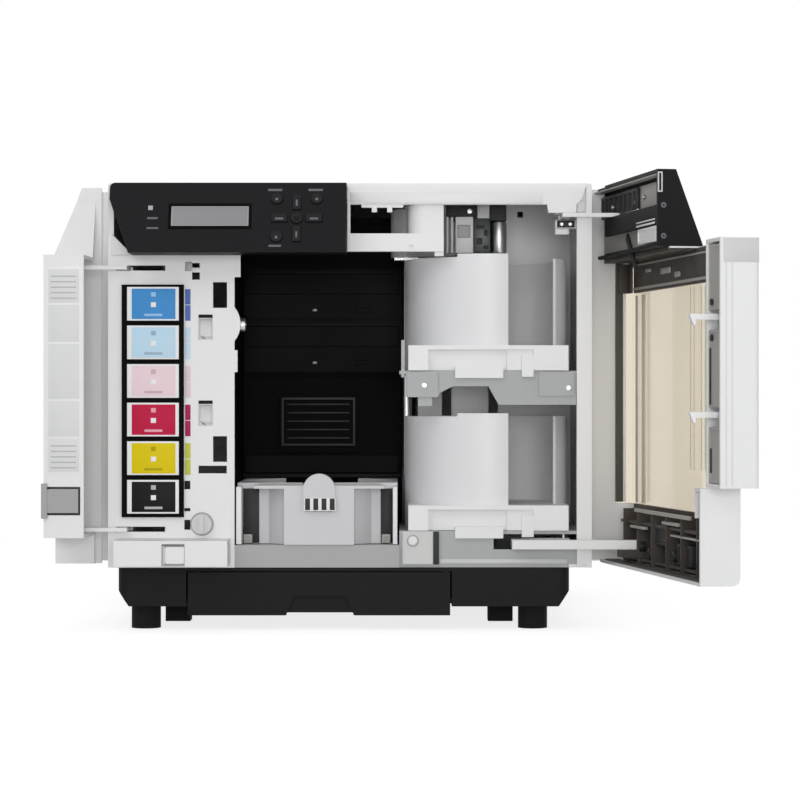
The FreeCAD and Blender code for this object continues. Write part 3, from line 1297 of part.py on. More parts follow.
def picker_head():
    """Picker at the end of the arm: carrier, gearbox, board, motor and a stem with three claws."""
    head = Piece("picker_head")
    reach = arm_reach()
    top = "arm_top - 0.5"
    floor = "carriage_low + 3"
    front = "stack_y - 16"
    carrier = [on_arm(reach + " - 22", "-beam_half"), on_arm(reach + " - 22", "beam_half"),
               on_arm(reach + " + 8", "beam_half"), on_arm(reach + " + 8", "-beam_half")]
    head.add("z", [carrier], "arm_top - 13", top)
    blocks = (
        ("stack_x - 32", "stack_x - 7.7", front, "stack_y + 2", "arm_top - 10", top),
        ("stack_x - 7", "stack_x + 2.8", front + " - 1.5", "stack_y", "arm_top - 11.4", top),
        ("stack_x + 2.8", "stack_x + 16.5", front, "stack_y", "arm_top - 13.2", top),
        ("stack_x - 24.6", "stack_x - 10.3", front + " - 1", "stack_y - 7.5", floor, "arm_top - 10"),
        ("stack_x - 23", "stack_x - 12.5", front + " - 1.8", front + " - 1", "arm_top - 27", "arm_top - 16.5"),
        ("stack_x - 9.7", "stack_x + 3.6", front + " + 2", "stack_y - 7.5", floor, "arm_top - 11.4"),
        ("stack_x - 32", "stack_x - 30.2", front, "stack_y - 4", floor, "arm_top - 10"),
        ("stack_x - 28.4", "stack_x - 26.2", front, "stack_y - 4", floor, "arm_top - 10"),
    )
    for left, right, near, far, low, high in blocks:
        head.add("z", [rect(left, near, right, far)], low, high)
    head.add("z", [disk("stack_x + 10.5", front + " + 7", "6.1")], floor, "arm_top - 13.2")
    head.add("z", [square("stack_x", "stack_y", "6")], "carriage_low - 0.5", "arm_top - 13")
    claws = [square("stack_x + 4.4 * cos(%d)" % turn, "stack_y + 4.4 * sin(%d)" % turn, "1.5") for turn in (30,
                                                                                                            150,
                                                                                                            270)]
    head.add("z", claws, "carriage_low - 2", "carriage_low - 0.5")


def arm_reach():
    """Distance from the shaft to the middle of the stacker."""
    return "sqrt((stack_x - shaft_x) ^ 2 + (stack_y - shaft_y) ^ 2)"


def on_arm(distance, aside):
    """Point at a distance from the shaft along the arm and aside of its middle line."""
    lean = "atan((shaft_y - stack_y) / (stack_x - shaft_x))"
    words = {"d": distance, "a": aside, "c": "cos(%s)" % lean, "s": "sin(%s)" % lean}
    return ("shaft_x + (%(d)s) * %(c)s + (%(a)s) * %(s)s" % words,
            "shaft_y - (%(d)s) * %(s)s + (%(a)s) * %(c)s" % words)


def aim_arm(piece):
    """Stand a piece on the shaft's axis, pointing at the middle of the stacker."""
    piece.body.Placement = FreeCAD.Placement(FreeCAD.Vector(0, 0, 0), FreeCAD.Rotation(FreeCAD.Vector(0, 0, -1),
                                                                                       10))
    piece.body.setExpression("Placement.Rotation.Angle",
                             bound("atan((shaft_y - stack_y) / (stack_x - shaft_x))"))
    piece.body.setExpression("Placement.Base.x", bound("shaft_x"))
    piece.body.setExpression("Placement.Base.y", bound("shaft_y"))


def build():
    """Build every sub-part of the machine."""
    fill_sheet()
    for make in (base_pan, feet, side_covers, top_cover, rear_cover, fan_rotor, ac_inlet, inner_frame,
                 control_panel,
                 panel_buttons, lcd_window, panel_board, ink_bay_panel, power_button, ink_bay_lock, ink_cage,
                 ink_cartridges, ink_cover, ink_cover_arms, ink_cover_latch, disc_cover_frame,
                 disc_cover_fairing,
                 disc_cover_window, disc_cover_handle, disc_cover_liner, disc_cover_arms, hinge_pins,
                 bay_lining,
                 bay_floor, upper_shelf, lower_shelf, stacker_3, output_drawer, disc_trays, eject_buttons,
                 printer_body, arm_shaft, arm_carriage, picker_arm, picker_head):
        make()
    for number in (1, 2):
        drive(number)
    stacker("stacker_1", "upper_shelf")
    stacker("stacker_2", "lower_shelf")
    DOC.recompute()


def check():
    """Stop if any feature failed, a step left the volume as it was, or a piece is not sound."""
    faults = [item.Name for item in DOC.Objects if {"Invalid", "Error"} & set(item.State)]
    for piece in PIECES:
        before = 0
        for step in piece.body.Group:
            if step.TypeId == "Sketcher::SketchObject":
                continue
            if step.Shape.isNull() or not step.Shape.isValid():
                faults.append(step.Name + " is not a sound shape")
                break
            grows = step.TypeId == "PartDesign::Pad"
            change = (step.Shape.Volume - before) * (1 if grows else -1)
            if change < 0.01 and step.TypeId in ("PartDesign::Pad", "PartDesign::Pocket"):
                faults.append(step.Name + " changes nothing")
            before = step.Shape.Volume
    if faults:
        raise RuntimeError("; ".join(faults))


def find_origin():
    """Point on the floor under the middle of the machine's bounding box."""
    whole = FreeCAD.BoundBox()
    for piece in PIECES:
        whole.add(piece.body.Shape.BoundBox)
    return FreeCAD.Vector(whole.Center.x, whole.Center.y, whole.ZMin)


def main():
    build()
    check()
    origin = find_origin()
    os.makedirs("parts", exist_ok=True)
    for piece in PIECES:
        shape = piece.body.Shape.copy()
        shape.translate(-origin)
        shape.exportStep("parts/%s.step" % piece.name)
        print(piece.name, len(shape.Solids), round(shape.Volume))
    print("origin", origin)
    print("pieces", len(PIECES))


if __name__ == "__main__":
    main()
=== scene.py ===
"""Finishes and small parts of the desktop disc publisher, laid out as an add-on and run as a script.

Places are in millimetres: X from the middle of the casing, Y back from the plane of the inner front
frame and Z from the floor. What sits on a cover is modelled on the closed cover and swung open with it.
"""
import json
import math

import bpy
from mathutils import Matrix, Vector


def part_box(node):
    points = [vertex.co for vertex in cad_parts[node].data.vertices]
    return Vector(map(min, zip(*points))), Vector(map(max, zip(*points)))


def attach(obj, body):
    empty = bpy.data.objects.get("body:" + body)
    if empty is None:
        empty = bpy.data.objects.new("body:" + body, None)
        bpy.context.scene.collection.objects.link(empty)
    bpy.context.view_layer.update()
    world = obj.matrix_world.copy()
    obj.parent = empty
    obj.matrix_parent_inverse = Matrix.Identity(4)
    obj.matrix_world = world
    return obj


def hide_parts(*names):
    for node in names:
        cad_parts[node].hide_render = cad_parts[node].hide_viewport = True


bl_info = {
    "name": "Disc publisher",
    "version": (1, 0, 0),
    "blender": (4, 5, 0),
    "location": "View3D > Sidebar > Disc publisher",
    "description": "Dresses the packed disc publisher with its finishes and small parts",
    "category": "Object",
}

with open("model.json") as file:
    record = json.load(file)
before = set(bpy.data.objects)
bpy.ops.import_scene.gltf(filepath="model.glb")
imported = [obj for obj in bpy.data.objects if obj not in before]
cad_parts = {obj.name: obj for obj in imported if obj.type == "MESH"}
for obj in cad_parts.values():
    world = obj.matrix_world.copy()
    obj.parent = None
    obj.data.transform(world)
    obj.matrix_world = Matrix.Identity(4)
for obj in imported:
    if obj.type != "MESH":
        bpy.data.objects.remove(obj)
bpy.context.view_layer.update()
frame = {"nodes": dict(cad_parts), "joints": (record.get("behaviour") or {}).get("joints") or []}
NODES = frame["nodes"]
MM = 0.001
MIDDLE = (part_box("left_side_cover")[0].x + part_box("right_side_cover")[1].x) / 2
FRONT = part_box("left_side_cover")[0].y
HINGES = {joint["name"]: Vector(joint["pos_m"]) for joint in frame["joints"] if joint.get("pos_m")}
COVER_FRONT = -39
SLANT_BOTTOM = 292
SLANT = 20.2


def linear(colour):
    """An sRGB hex value as the linear colour and alpha that the shaders take."""
    parts = [int(colour[i:i + 2], 16) / 255 for i in (1, 3, 5)]
    return [part / 12.92 if part <= 0.04045 else ((part + 0.055) / 1.055) ** 2.4 for part in parts] + [1.0]


def colour_prop(name, description, value):
    """A colour that a user can change, with its sRGB hex value as the default."""
    return bpy.props.FloatVectorProperty(name=name, description=description, subtype="COLOR", size=4,
                                         min=0, max=1, default=linear(value))


class PublisherColours(bpy.types.PropertyGroup):
    """Colours of the machine's plastics, metals and inks."""
    casing: colour_prop("Casing", "Outer casing and the covers", "#EAEAE9")
    frame_white: colour_prop("White frame", "Inner frame and ink bay panel", "#E8E8E7")
    stacker: colour_prop("Stacker", "Wells that hold the discs", "#EDEDEE")
    # painted shade: the low tray's colour is the wells' polystyrene drawn greyer
    tray: colour_prop("Low tray", "Low output tray", "#D3D3D5")
    shelf: colour_prop("Shelf", "Shelves under the stackers", "#ADB0B0")
    floor: colour_prop("Bay floor", "Floor of the disc bay", "#A9A9A8")
    base: colour_prop("Base", "Base, drawer and control panel", "#1A1A1C")
    bay: colour_prop("Bay", "Lining of the disc bay, drives and printer", "#09090A")
    smoke: colour_prop("Smoked window", "Window of the disc cover", "#EADFCB")
    display: colour_prop("Display", "Plate over the display", "#8C8C8E")
    latch: colour_prop("Latch", "Latch of the ink cover and the grey fittings", "#A3A3A2")
    mark: colour_prop("Marks", "Plain printed marks on the black panel", "#6C6D70")
    steel: colour_prop("Steel", "Shaft, sleeve and hinge pins", "#B9BABC")
    rubber: colour_prop("Rubber", "Feet and seals", "#161617")
    board: colour_prop("Circuit board", "Board of the picker and the panel", "#2C362F")


class PublisherStage(bpy.types.PropertyGroup):
    """Camera and light of the studio."""
    lens: bpy.props.FloatProperty(name="Lens", description="Focal length", default=115.5, subtype="DISTANCE_CAMERA")
    camera_right: bpy.props.FloatProperty(name="Right", description="Camera's distance right of the origin",
                                          default=0.01566, unit="LENGTH")
    camera_front: bpy.props.FloatProperty(name="Front", description="Camera's distance before the origin",
                                          default=2.07928, unit="LENGTH")
    camera_height: bpy.props.FloatProperty(name="Height", description="Camera's height", default=0.1792,
                                           unit="LENGTH")
    key: bpy.props.FloatProperty(name="Key lamp", description="Power of the lamp at the left front", default=14,
                                 unit="POWER")
    front: bpy.props.FloatProperty(name="Front lamp", description="Power of the broad lamp beside the camera",
                                   default=26, unit="POWER")
    fill: bpy.props.FloatProperty(name="Fill lamp", description="Power of the lamp at the right front", default=8,
                                  unit="POWER")
    top: bpy.props.FloatProperty(name="Top lamp", description="Power of the lamp overhead", default=11, unit="POWER")
    room: bpy.props.FloatProperty(name="Room", description="Strength of the light from all round", default=0.36)


class PublisherTrim(bpy.types.PropertyGroup):
    """Sizes of the small parts."""
    edge: bpy.props.FloatProperty(name="Edge", description="Rounding of small moulded edges in millimetres",
                                  default=0.25)
    label_margin: bpy.props.FloatProperty(name="Label margin", description="White margin beside an ink label, in mm",
                                          default=3.6)
    screw_radius: bpy.props.FloatProperty(name="Screw head", description="Radius of a screw head in millimetres",
                                          default=3.2)


def add(tree, kind, inputs=None, **settings):
    """Add a shader node with its settings, and set or link its inputs by name or number."""
    node = tree.nodes.new(kind)
    for name, value in settings.items():
        setattr(node, name, value)
    for name, value in (inputs or {}).items():
        if isinstance(value, bpy.types.NodeSocket):
            tree.links.new(value, node.inputs[name])
        else:
            node.inputs[name].default_value = value
    return node


def new_material(name):
    """An empty node material with its tree and output."""
    material = bpy.data.materials.new(name)
    material.use_nodes = True
    material.node_tree.nodes.clear()
    output = material.node_tree.nodes.new("ShaderNodeOutputMaterial")
    return material, material.node_tree, output


def shades(colour, spread):
    """A darker and a lighter shade of a colour."""
    dark = [part * (1 - spread) for part in colour[:3]] + [1]
    light = [min(1, part * (1 + spread)) for part in colour[:3]] + [1]
    return dark, light


def moulded(name, colour, roughness, grain_mm, depth_mm, spread=0.012, specular=0.5, ior=1.53, cloud_mm=60):
    """Moulded plastic: faint flow marks in its colour and gloss, and the fine grain left by the mould."""
    material, tree, output = new_material(name)
    place = add(tree, "ShaderNodeTexCoord").outputs["Object"]
    flow = add(tree, "ShaderNodeTexNoise", {"Vector": place, "Scale": 1 / (cloud_mm * MM), "Detail": 2.0})
    dark, light = shades(colour, spread)
    tint = add(tree, "ShaderNodeMix", {"Factor": flow.outputs["Fac"]}, data_type="RGBA")
    tint.inputs["A"].default_value = dark
    tint.inputs["B"].default_value = light
    # The grain is drawn a little coarser than the real one, so that it shows.
    grain = add(tree, "ShaderNodeTexNoise", {"Vector": place, "Scale": 1 / (grain_mm * MM), "Detail": 2.0,
                                             "Roughness": 0.6})
    bump = add(tree, "ShaderNodeBump", {"Height": grain.outputs["Fac"], "Strength": 0.4, "Distance": depth_mm * MM})
    gloss = add(tree, "ShaderNodeMapRange", {"Value": flow.outputs["Fac"], "To Min": roughness - 0.05,
                                             "To Max": roughness + 0.05})
    shader = add(tree, "ShaderNodeBsdfPrincipled", {
        "Base Color": tint.outputs["Result"], "Roughness": gloss.outputs["Result"],
        "Normal": bump.outputs["Normal"], "IOR": ior, "Specular IOR Level": specular})
    tree.links.new(shader.outputs["BSDF"], output.inputs["Surface"])
    return material


def powder_coated(name, colour, roughness):
    """Powder-coated sheet steel: an even colour with the soft dimples of orange peel."""
    material, tree, output = new_material(name)
    place = add(tree, "ShaderNodeTexCoord").outputs["Object"]
    peel = add(tree, "ShaderNodeTexVoronoi", {"Vector": place, "Scale": 1 / (1.6 * MM), "Smoothness": 1.0},
               feature="SMOOTH_F1")
    bump = add(tree, "ShaderNodeBump", {"Height": peel.outputs["Distance"], "Strength": 0.25,
                                        "Distance": 0.05 * MM})
    cloud = add(tree, "ShaderNodeTexNoise", {"Vector": place, "Scale": 1 / (45 * MM), "Detail": 3.0})
    dark, light = shades(colour, 0.03)
    tint = add(tree, "ShaderNodeMix", {"Factor": cloud.outputs["Fac"]}, data_type="RGBA")
    tint.inputs["A"].default_value = dark
    tint.inputs["B"].default_value = light
    shader = add(tree, "ShaderNodeBsdfPrincipled", {"Base Color": tint.outputs["Result"], "Roughness": roughness,
                                                    "Normal": bump.outputs["Normal"], "IOR": 1.5})
    tree.links.new(shader.outputs["BSDF"], output.inputs["Surface"])
    return material


def brushed_metal(name, colour, roughness, along):
    """Ground or drawn metal: fine scratches that run one way and stretch its highlights."""
    material, tree, output = new_material(name)
    place = add(tree, "ShaderNodeTexCoord").outputs["Object"]
    fine, coarse = 1 / (0.5 * MM), 1 / (40 * MM)
    stretch = [coarse if axis == along else fine for axis in "xyz"]
    lines = add(tree, "ShaderNodeMapping", {"Vector": place, "Scale": stretch})
    scratch = add(tree, "ShaderNodeTexNoise", {"Vector": lines.outputs["Vector"], "Scale": 1.0, "Detail": 3.0})
    gloss = add(tree, "ShaderNodeMapRange", {"Value": scratch.outputs["Fac"], "To Min": roughness - 0.08,
                                             "To Max": roughness + 0.1})
    bump = add(tree, "ShaderNodeBump", {"Height": scratch.outputs["Fac"], "Strength": 0.2, "Distance": 0.02 * MM})
    dark, light = shades(colour, 0.06)
    tint = add(tree, "ShaderNodeMix", {"Factor": scratch.outputs["Fac"]}, data_type="RGBA")
    tint.inputs["A"].default_value = dark
    tint.inputs["B"].default_value = light
    shader = add(tree, "ShaderNodeBsdfPrincipled", {"Base Color": tint.outputs["Result"], "Metallic": 1.0,
                                                    "Roughness": gloss.outputs["Result"],
                                                    "Normal": bump.outputs["Normal"]})
    tree.links.new(shader.outputs["BSDF"], output.inputs["Surface"])
    return material


def cast_acrylic(name, colour):
    """Clear tinted acrylic sheet: polished, with a few fine wipe marks in its gloss."""
    material, tree, output = new_material(name)
    place = add(tree, "ShaderNodeTexCoord").outputs["Object"]
    lines = add(tree, "ShaderNodeMapping", {"Vector": place, "Scale": (300.0, 300.0, 14.0)})
    wipe = add(tree, "ShaderNodeTexNoise", {"Vector": lines.outputs["Vector"], "Scale": 1.0, "Detail": 2.0})
    gloss = add(tree, "ShaderNodeMapRange", {"Value": wipe.outputs["Fac"], "From Min": 0.55, "From Max": 0.8,
                                             "To Min": 0.02, "To Max": 0.09})
    shader = add(tree, "ShaderNodeBsdfPrincipled", {"Base Color": colour, "Roughness": gloss.outputs["Result"],
                                                    "Transmission Weight": 1.0, "IOR": 1.49})
    tree.links.new(shader.outputs["BSDF"], output.inputs["Surface"])
    return material


def printed_paper(name, colour):
    """Printed film label: an even ink on a smooth base with a faint fibre under it."""
    material, tree, output = new_material(name)
    place = add(tree, "ShaderNodeTexCoord").outputs["Object"]
    fibre = add(tree, "ShaderNodeTexNoise", {"Vector": place, "Scale": 1 / (0.7 * MM), "Detail": 4.0})
    dark, light = shades(colour, 0.025)
    tint = add(tree, "ShaderNodeMix", {"Factor": fibre.outputs["Fac"]}, data_type="RGBA")
    tint.inputs["A"].default_value = dark
    tint.inputs["B"].default_value = light
    bump = add(tree, "ShaderNodeBump", {"Height": fibre.outputs["Fac"], "Strength": 0.15, "Distance": 0.02 * MM})
    shader = add(tree, "ShaderNodeBsdfPrincipled", {"Base Color": tint.outputs["Result"], "Roughness": 0.5,
                                                    "Normal": bump.outputs["Normal"],
                                                    "Specular IOR Level": 0.12})
    tree.links.new(shader.outputs["BSDF"], output.inputs["Surface"])
    return material


def finishes(colours):
    """Every finish of the machine, by name."""
    return {
        # ABS housings from a spark-eroded mould: satin, so highlights are broad and soft
        "abs_grained_casing": moulded("abs_grained_casing", colours.casing, 0.48, 0.7, 0.03),
        "abs_satin_frame": moulded("abs_satin_frame", colours.frame_white, 0.42, 0.6, 0.02),
        # polished polystyrene: the round wells show a long upright highlight
        "polystyrene_polished_well": moulded("polystyrene_polished_well", colours.stacker, 0.38, 1.2, 0.01,
                                             specular=0.3),
        # painted shade: the low tray is the wells' polystyrene drawn greyer than the wells
        "polystyrene_tray_painted_shade": moulded("polystyrene_tray_painted_shade", colours.tray, 0.45, 1.0, 0.01, specular=0.3),
        # powder coat gives the shelves a flat grey with a faint dimple
        "steel_powder_coated_shelf": powder_coated("steel_powder_coated_shelf", colours.shelf, 0.5),
        "abs_satin_bay_floor": moulded("abs_satin_bay_floor", colours.floor, 0.5, 0.6, 0.02),
        # black ABS with a fine etched grain, which scatters what it mirrors
        "abs_etched_black": moulded("abs_etched_black", colours.base, 0.5, 0.8, 0.04, spread=0.08, specular=0.08),
        # the bay is lined in soot-black plastic that hardly shows its edges
        "abs_matt_bay_black": moulded("abs_matt_bay_black", colours.bay, 0.6, 0.8, 0.03, spread=0.08, specular=0.04),
        "pc_abs_drive_black": moulded("pc_abs_drive_black", colours.bay, 0.4, 0.7, 0.02, spread=0.08, specular=0.03),
        "acetal_moulded_grey": moulded("acetal_moulded_grey", colours.latch, 0.4, 0.5, 0.02, ior=1.48),
        "abs_light_grey_fitting": moulded("abs_light_grey_fitting", linear("#CDCDCC"), 0.42, 0.6, 0.02),
        "abs_mechanism_grey": moulded("abs_mechanism_grey", linear("#A9A6A1"), 0.5, 0.6, 0.03, spread=0.06),
        # the cover's inner works are a mottled brown black, as recycled polymer is
        "abs_mechanism_brown": moulded("abs_mechanism_brown", linear("#4A4440"), 0.5, 0.8, 0.04, spread=0.35,
                                       specular=0.2, cloud_mm=14),
        "abs_mechanism_dark": moulded("abs_mechanism_dark", linear("#2E2D2D"), 0.5, 0.8, 0.04, spread=0.2,
                                      specular=0.2, cloud_mm=16),
        # the caps are a shade darker than the panel round them, so their edges just show
        "silicone_moulded_button": moulded("silicone_moulded_button", linear("#19191B"), 0.45, 0.5, 0.02,
                                           specular=0.14),
        "silk_screened_grey": printed_paper("silk_screened_grey", colours.mark),
        # the display's plate is polished over an even grey
        "acrylic_polished_display": moulded("acrylic_polished_display", colours.display, 0.2, 4.0, 0.002,
                                            spread=0.008, specular=0.3),
        "abs_display_rim": moulded("abs_display_rim", linear("#ABABAC"), 0.4, 0.6, 0.01),
        # strips inside the window: the darker one is painted shade and the wide pale one a painted highlight; the thin
        # pale ones are ribs moulded with the window, paler than the sheet between them
        "acrylic_pale_rib_and_painted_highlight": moulded("acrylic_pale_rib_and_painted_highlight", linear("#DDD6C6"), 0.3, 1.0, 0.01),
        "acrylic_rib_painted_shade": moulded("acrylic_rib_painted_shade", linear("#BBB2A6"), 0.3, 1.0, 0.01),
        "rubber_window_seal": moulded("rubber_window_seal", linear("#56554F"), 0.7, 0.9, 0.05, spread=0.15,
                                      specular=0.2),
        "acrylic_smoked_window": cast_acrylic("acrylic_smoked_window", colours.smoke),
        "steel_ground_shaft": brushed_metal("steel_ground_shaft", colours.steel, 0.28, "z"),
        "steel_zinc_plated": brushed_metal("steel_zinc_plated", linear("#C4C5C7"), 0.34, "x"),
        # vulcanised rubber scatters nearly all light
        "rubber_vulcanised": moulded("rubber_vulcanised", colours.rubber, 0.8, 0.9, 0.06, spread=0.12,
                                     specular=0.15),
        "glass_epoxy_board": moulded("glass_epoxy_board", colours.board, 0.4, 0.9, 0.05, spread=0.25),
        "paper_label_white": printed_paper("paper_label_white", linear("#F2F2F1")),
        "paper_label_tinted": printed_paper("paper_label_tinted", linear("#E2E3E1")),
        "paper_label_ruled": printed_paper("paper_label_ruled", linear("#BDBDBC")),
    }


def at(x, y, z):
    """A place in the machine's millimetres, in the frame's metres."""
    return Vector((MIDDLE + x * MM, FRONT + y * MM, z * MM))


def clear():
    """Leave nothing selected, so that the next operator acts on the new piece alone."""
    if bpy.context.object and bpy.context.object.mode != "OBJECT":
        bpy.ops.object.mode_set(mode="OBJECT")
    bpy.ops.object.select_all(action="DESELECT")


def only(piece):
    """Select one piece and make it active."""
    clear()
    piece.select_set(True)
    bpy.context.view_layer.objects.active = piece


def settle(piece):
    """Apply a piece's place, turn and scale to its mesh."""
    only(piece)
    bpy.ops.object.transform_apply(location=True, rotation=True, scale=True)


def block(name, across, deep, up, edge=None):
    """A moulded block between two corners, with rounded edges."""
    low, high = at(across[0], deep[0], up[0]), at(across[1], deep[1], up[1])
    clear()
    bpy.ops.mesh.primitive_cube_add(size=1, location=(low + high) / 2, scale=high - low)
    piece = bpy.context.object
    piece.name = name
    settle(piece)
    least = min(across[1] - across[0], deep[1] - deep[0], up[1] - up[0])
    edge = min(bpy.context.scene.publisher_trim.edge if edge is None else edge, 0.4 * least)
    bpy.ops.object.mode_set(mode="EDIT")
    bpy.ops.mesh.select_all(action="SELECT")
    bpy.ops.mesh.bevel(offset=edge * MM, segments=2, affect="EDGES")
    bpy.ops.object.mode_set(mode="OBJECT")
    return piece


def pick(piece, test):
    """Select in edit mode the faces whose centre, in the machine's millimetres, and normal pass a test."""
    only(piece)
    bpy.ops.object.mode_set(mode="EDIT")
    bpy.ops.mesh.select_mode(type="FACE")
    bpy.ops.mesh.select_all(action="DESELECT")
    bpy.ops.object.mode_set(mode="OBJECT")
    origin = at(0, 0, 0)
    found = 0
    for face in piece.data.polygons:
        face.select = bool(test((face.center - origin) / MM, face.normal))
        found += face.select
    if not found:
        raise RuntimeError(piece.name + ": no face was found")
    bpy.ops.object.mode_set(mode="EDIT")


def broad(piece, toward):
    """A test for the broad flat face on one side of a piece."""
    toward = Vector(toward)
    facing = [face for face in piece.data.polygons if face.normal.dot(toward) > 0.99]
    area = max(face.area for face in facing)
    centres = [(face.center - at(0, 0, 0)) / MM for face in facing if face.area > 0.9 * area]
    return lambda centre, normal: normal.dot(toward) > 0.99 and min((centre - c).length for c in centres) < 0.01


def sink(piece, toward, margin, depth):
    """Push the middle of one side in, or pull it out with a depth below 0, and leave a margin round it."""
    pick(piece, broad(piece, toward))
    bpy.ops.mesh.inset(thickness=margin * MM, depth=0)
    bpy.ops.mesh.inset(thickness=min(0.15, abs(depth) / 3) * MM, depth=-depth * MM)
    bpy.ops.object.mode_set(mode="OBJECT")
    return piece


def open_middle(piece, toward, margin):
    """Cut the middle out between one side and the other, and leave a frame."""
    front, back = broad(piece, toward), broad(piece, -Vector(toward))
    pick(piece, lambda centre, normal: front(centre, normal) or back(centre, normal))
    bpy.ops.mesh.inset(thickness=margin * MM, depth=0, use_individual=True)
    bpy.ops.mesh.bridge_edge_loops()
    bpy.ops.object.mode_set(mode="OBJECT")
    return piece


def round_piece(name, centre, radius, thick, toward, sides=32, edge=0.3):
    """A turned disc or stud about its centre, facing one way, with rounded rims."""
    toward = Vector(toward)
    clear()
    bpy.ops.mesh.primitive_cylinder_add(vertices=sides, radius=radius * MM, depth=thick * MM, location=at(*centre),
                                        rotation=toward.to_track_quat("Z", "Y").to_euler())
    piece = bpy.context.object
    piece.name = name
    settle(piece)
    pick(piece, lambda centre, normal: abs(normal.dot(toward)) > 0.99)
    bpy.ops.mesh.bevel(offset=min(edge, 0.3 * thick) * MM, segments=2, affect="EDGES")
    bpy.ops.object.mode_set(mode="OBJECT")
    return piece


def screw(name, centre, toward, radius=None):
    """A pan-head screw with a sunk socket."""
    radius = radius or bpy.context.scene.publisher_trim.screw_radius
    head = round_piece(name, centre, radius, 1.2, toward, sides=24, edge=0.35)
    return sink(head, toward, radius * 0.45, 0.5)


def copies(piece, shifts):
    """The piece and a copy of it, with its own mesh, at each shift in millimetres."""
    made = [piece]
    for shift in shifts:
        only(piece)
        bpy.ops.object.duplicate(linked=False)
        twin = bpy.context.object
        twin.location = Vector(shift) * MM
        settle(twin)
        made.append(twin)
    return made


def joined(name, pieces):
    """Join pieces into one, each keeping its finish."""
    clear()
    for piece in pieces:
        piece.select_set(True)
    bpy.context.view_layer.objects.active = pieces[0]
    if len(pieces) > 1:
        bpy.ops.object.join()
    whole = bpy.context.object
    whole.name = name
    return whole


def coat(pieces, finish):
    """Give pieces a finish."""
    for piece in pieces if isinstance(pieces, list) else [pieces]:
        piece.data.materials.clear()
        piece.data.materials.append(bpy.data.materials[finish])
    return pieces


def move_all(pieces, matrix):
    """Move pieces by a matrix and settle them there."""
    for piece in pieces:
        piece.matrix_world = matrix @ piece.matrix_world
        settle(piece)


def about(point, degrees, axis):
    """A turn about an axis through a point."""
    return (Matrix.Translation(point) @ Matrix.Rotation(math.radians(degrees), 4, axis)
            @ Matrix.Translation(-Vector(point)))


def lean_back(pieces):
    """Lean pieces that were modelled upright on to the slanted face."""
    move_all(pieces, about(at(0, COVER_FRONT, SLANT_BOTTOM), -SLANT, "X"))


def swing_open(pieces, hinge, degrees):
    """Swing pieces that were modelled on a closed cover to where the open cover stands."""
    move_all(pieces, about(HINGES[hinge], degrees, "Z"))


def mount(pieces, body):
    """Smooth the pieces' rounded edges and let them ride on a body."""
    for piece in pieces if isinstance(pieces, list) else [pieces]:
        only(piece)
        bpy.ops.object.shade_smooth_by_angle(angle=math.radians(35))
        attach(piece, body)


def dress(nodes, finish):
    """Give CAD nodes a finish."""
    for name in nodes:
        mesh = NODES[name].data
        mesh.materials.clear()
        mesh.materials.append(bpy.data.materials[finish])


PANEL_BUTTONS = ("button_top_left", "button_top_right", "button_bottom_left", "button_centre",
                 "button_left", "button_right", "button_up", "button_down")
NODE_FINISHES = {
    "abs_grained_casing": ("left_side_cover", "right_side_cover", "top_cover", "rear_cover", "ink_cover",
                           "disc_cover_frame", "disc_cover_handle"),
    "abs_satin_frame": ("inner_frame", "ink_bay_panel", "disc_cover_arms", "ink_cover_arms", "power_button"),
    "polystyrene_polished_well": ("stacker_1", "stacker_2"),
    "polystyrene_tray_painted_shade": ("stacker_3",),
    "steel_powder_coated_shelf": ("upper_shelf", "lower_shelf"),
    "abs_satin_bay_floor": ("bay_floor",),
    "abs_etched_black": ("base_pan", "control_panel", "disc_cover_fairing", "output_drawer", "ac_inlet", "fan_rotor"),
    "abs_matt_bay_black": ("bay_lining", "printer_body", "ink_cage"),
    "pc_abs_drive_black": ("drive_1", "drive_2", "drive_tray_1", "drive_tray_2", "printer_tray", "eject_button_1",
                           "eject_button_2"),
    "acetal_moulded_grey": ("ink_cover_latch",),
    "abs_light_grey_fitting": ("ink_bay_lock", "picker_arm"),
    "abs_mechanism_brown": ("disc_cover_liner",),
    "abs_mechanism_dark": ("picker_head", "ink_cartridge_1", "ink_cartridge_2", "ink_cartridge_3",
                           "ink_cartridge_4", "ink_cartridge_5", "ink_cartridge_6"),
    "silicone_moulded_button": PANEL_BUTTONS,
    "acrylic_polished_display": ("lcd_window",),
    "acrylic_smoked_window": ("disc_cover_window",),
    "steel_ground_shaft": ("hinge_pins", "arm_shaft", "arm_carriage"),
    "rubber_vulcanised": ("feet",),
    "glass_epoxy_board": ("panel_board",),
}


class PUBLISHER_OT_finishes(bpy.types.Operator):
    """Give the machine's own pieces their plastics and metals"""
    bl_idname = "publisher.finishes"
    bl_label = "Finishes"

    def execute(self, context):
        finishes(context.scene.publisher_colours)
        for finish, nodes in NODE_FINISHES.items():
            dress(nodes, finish)
        return {"FINISHED"}


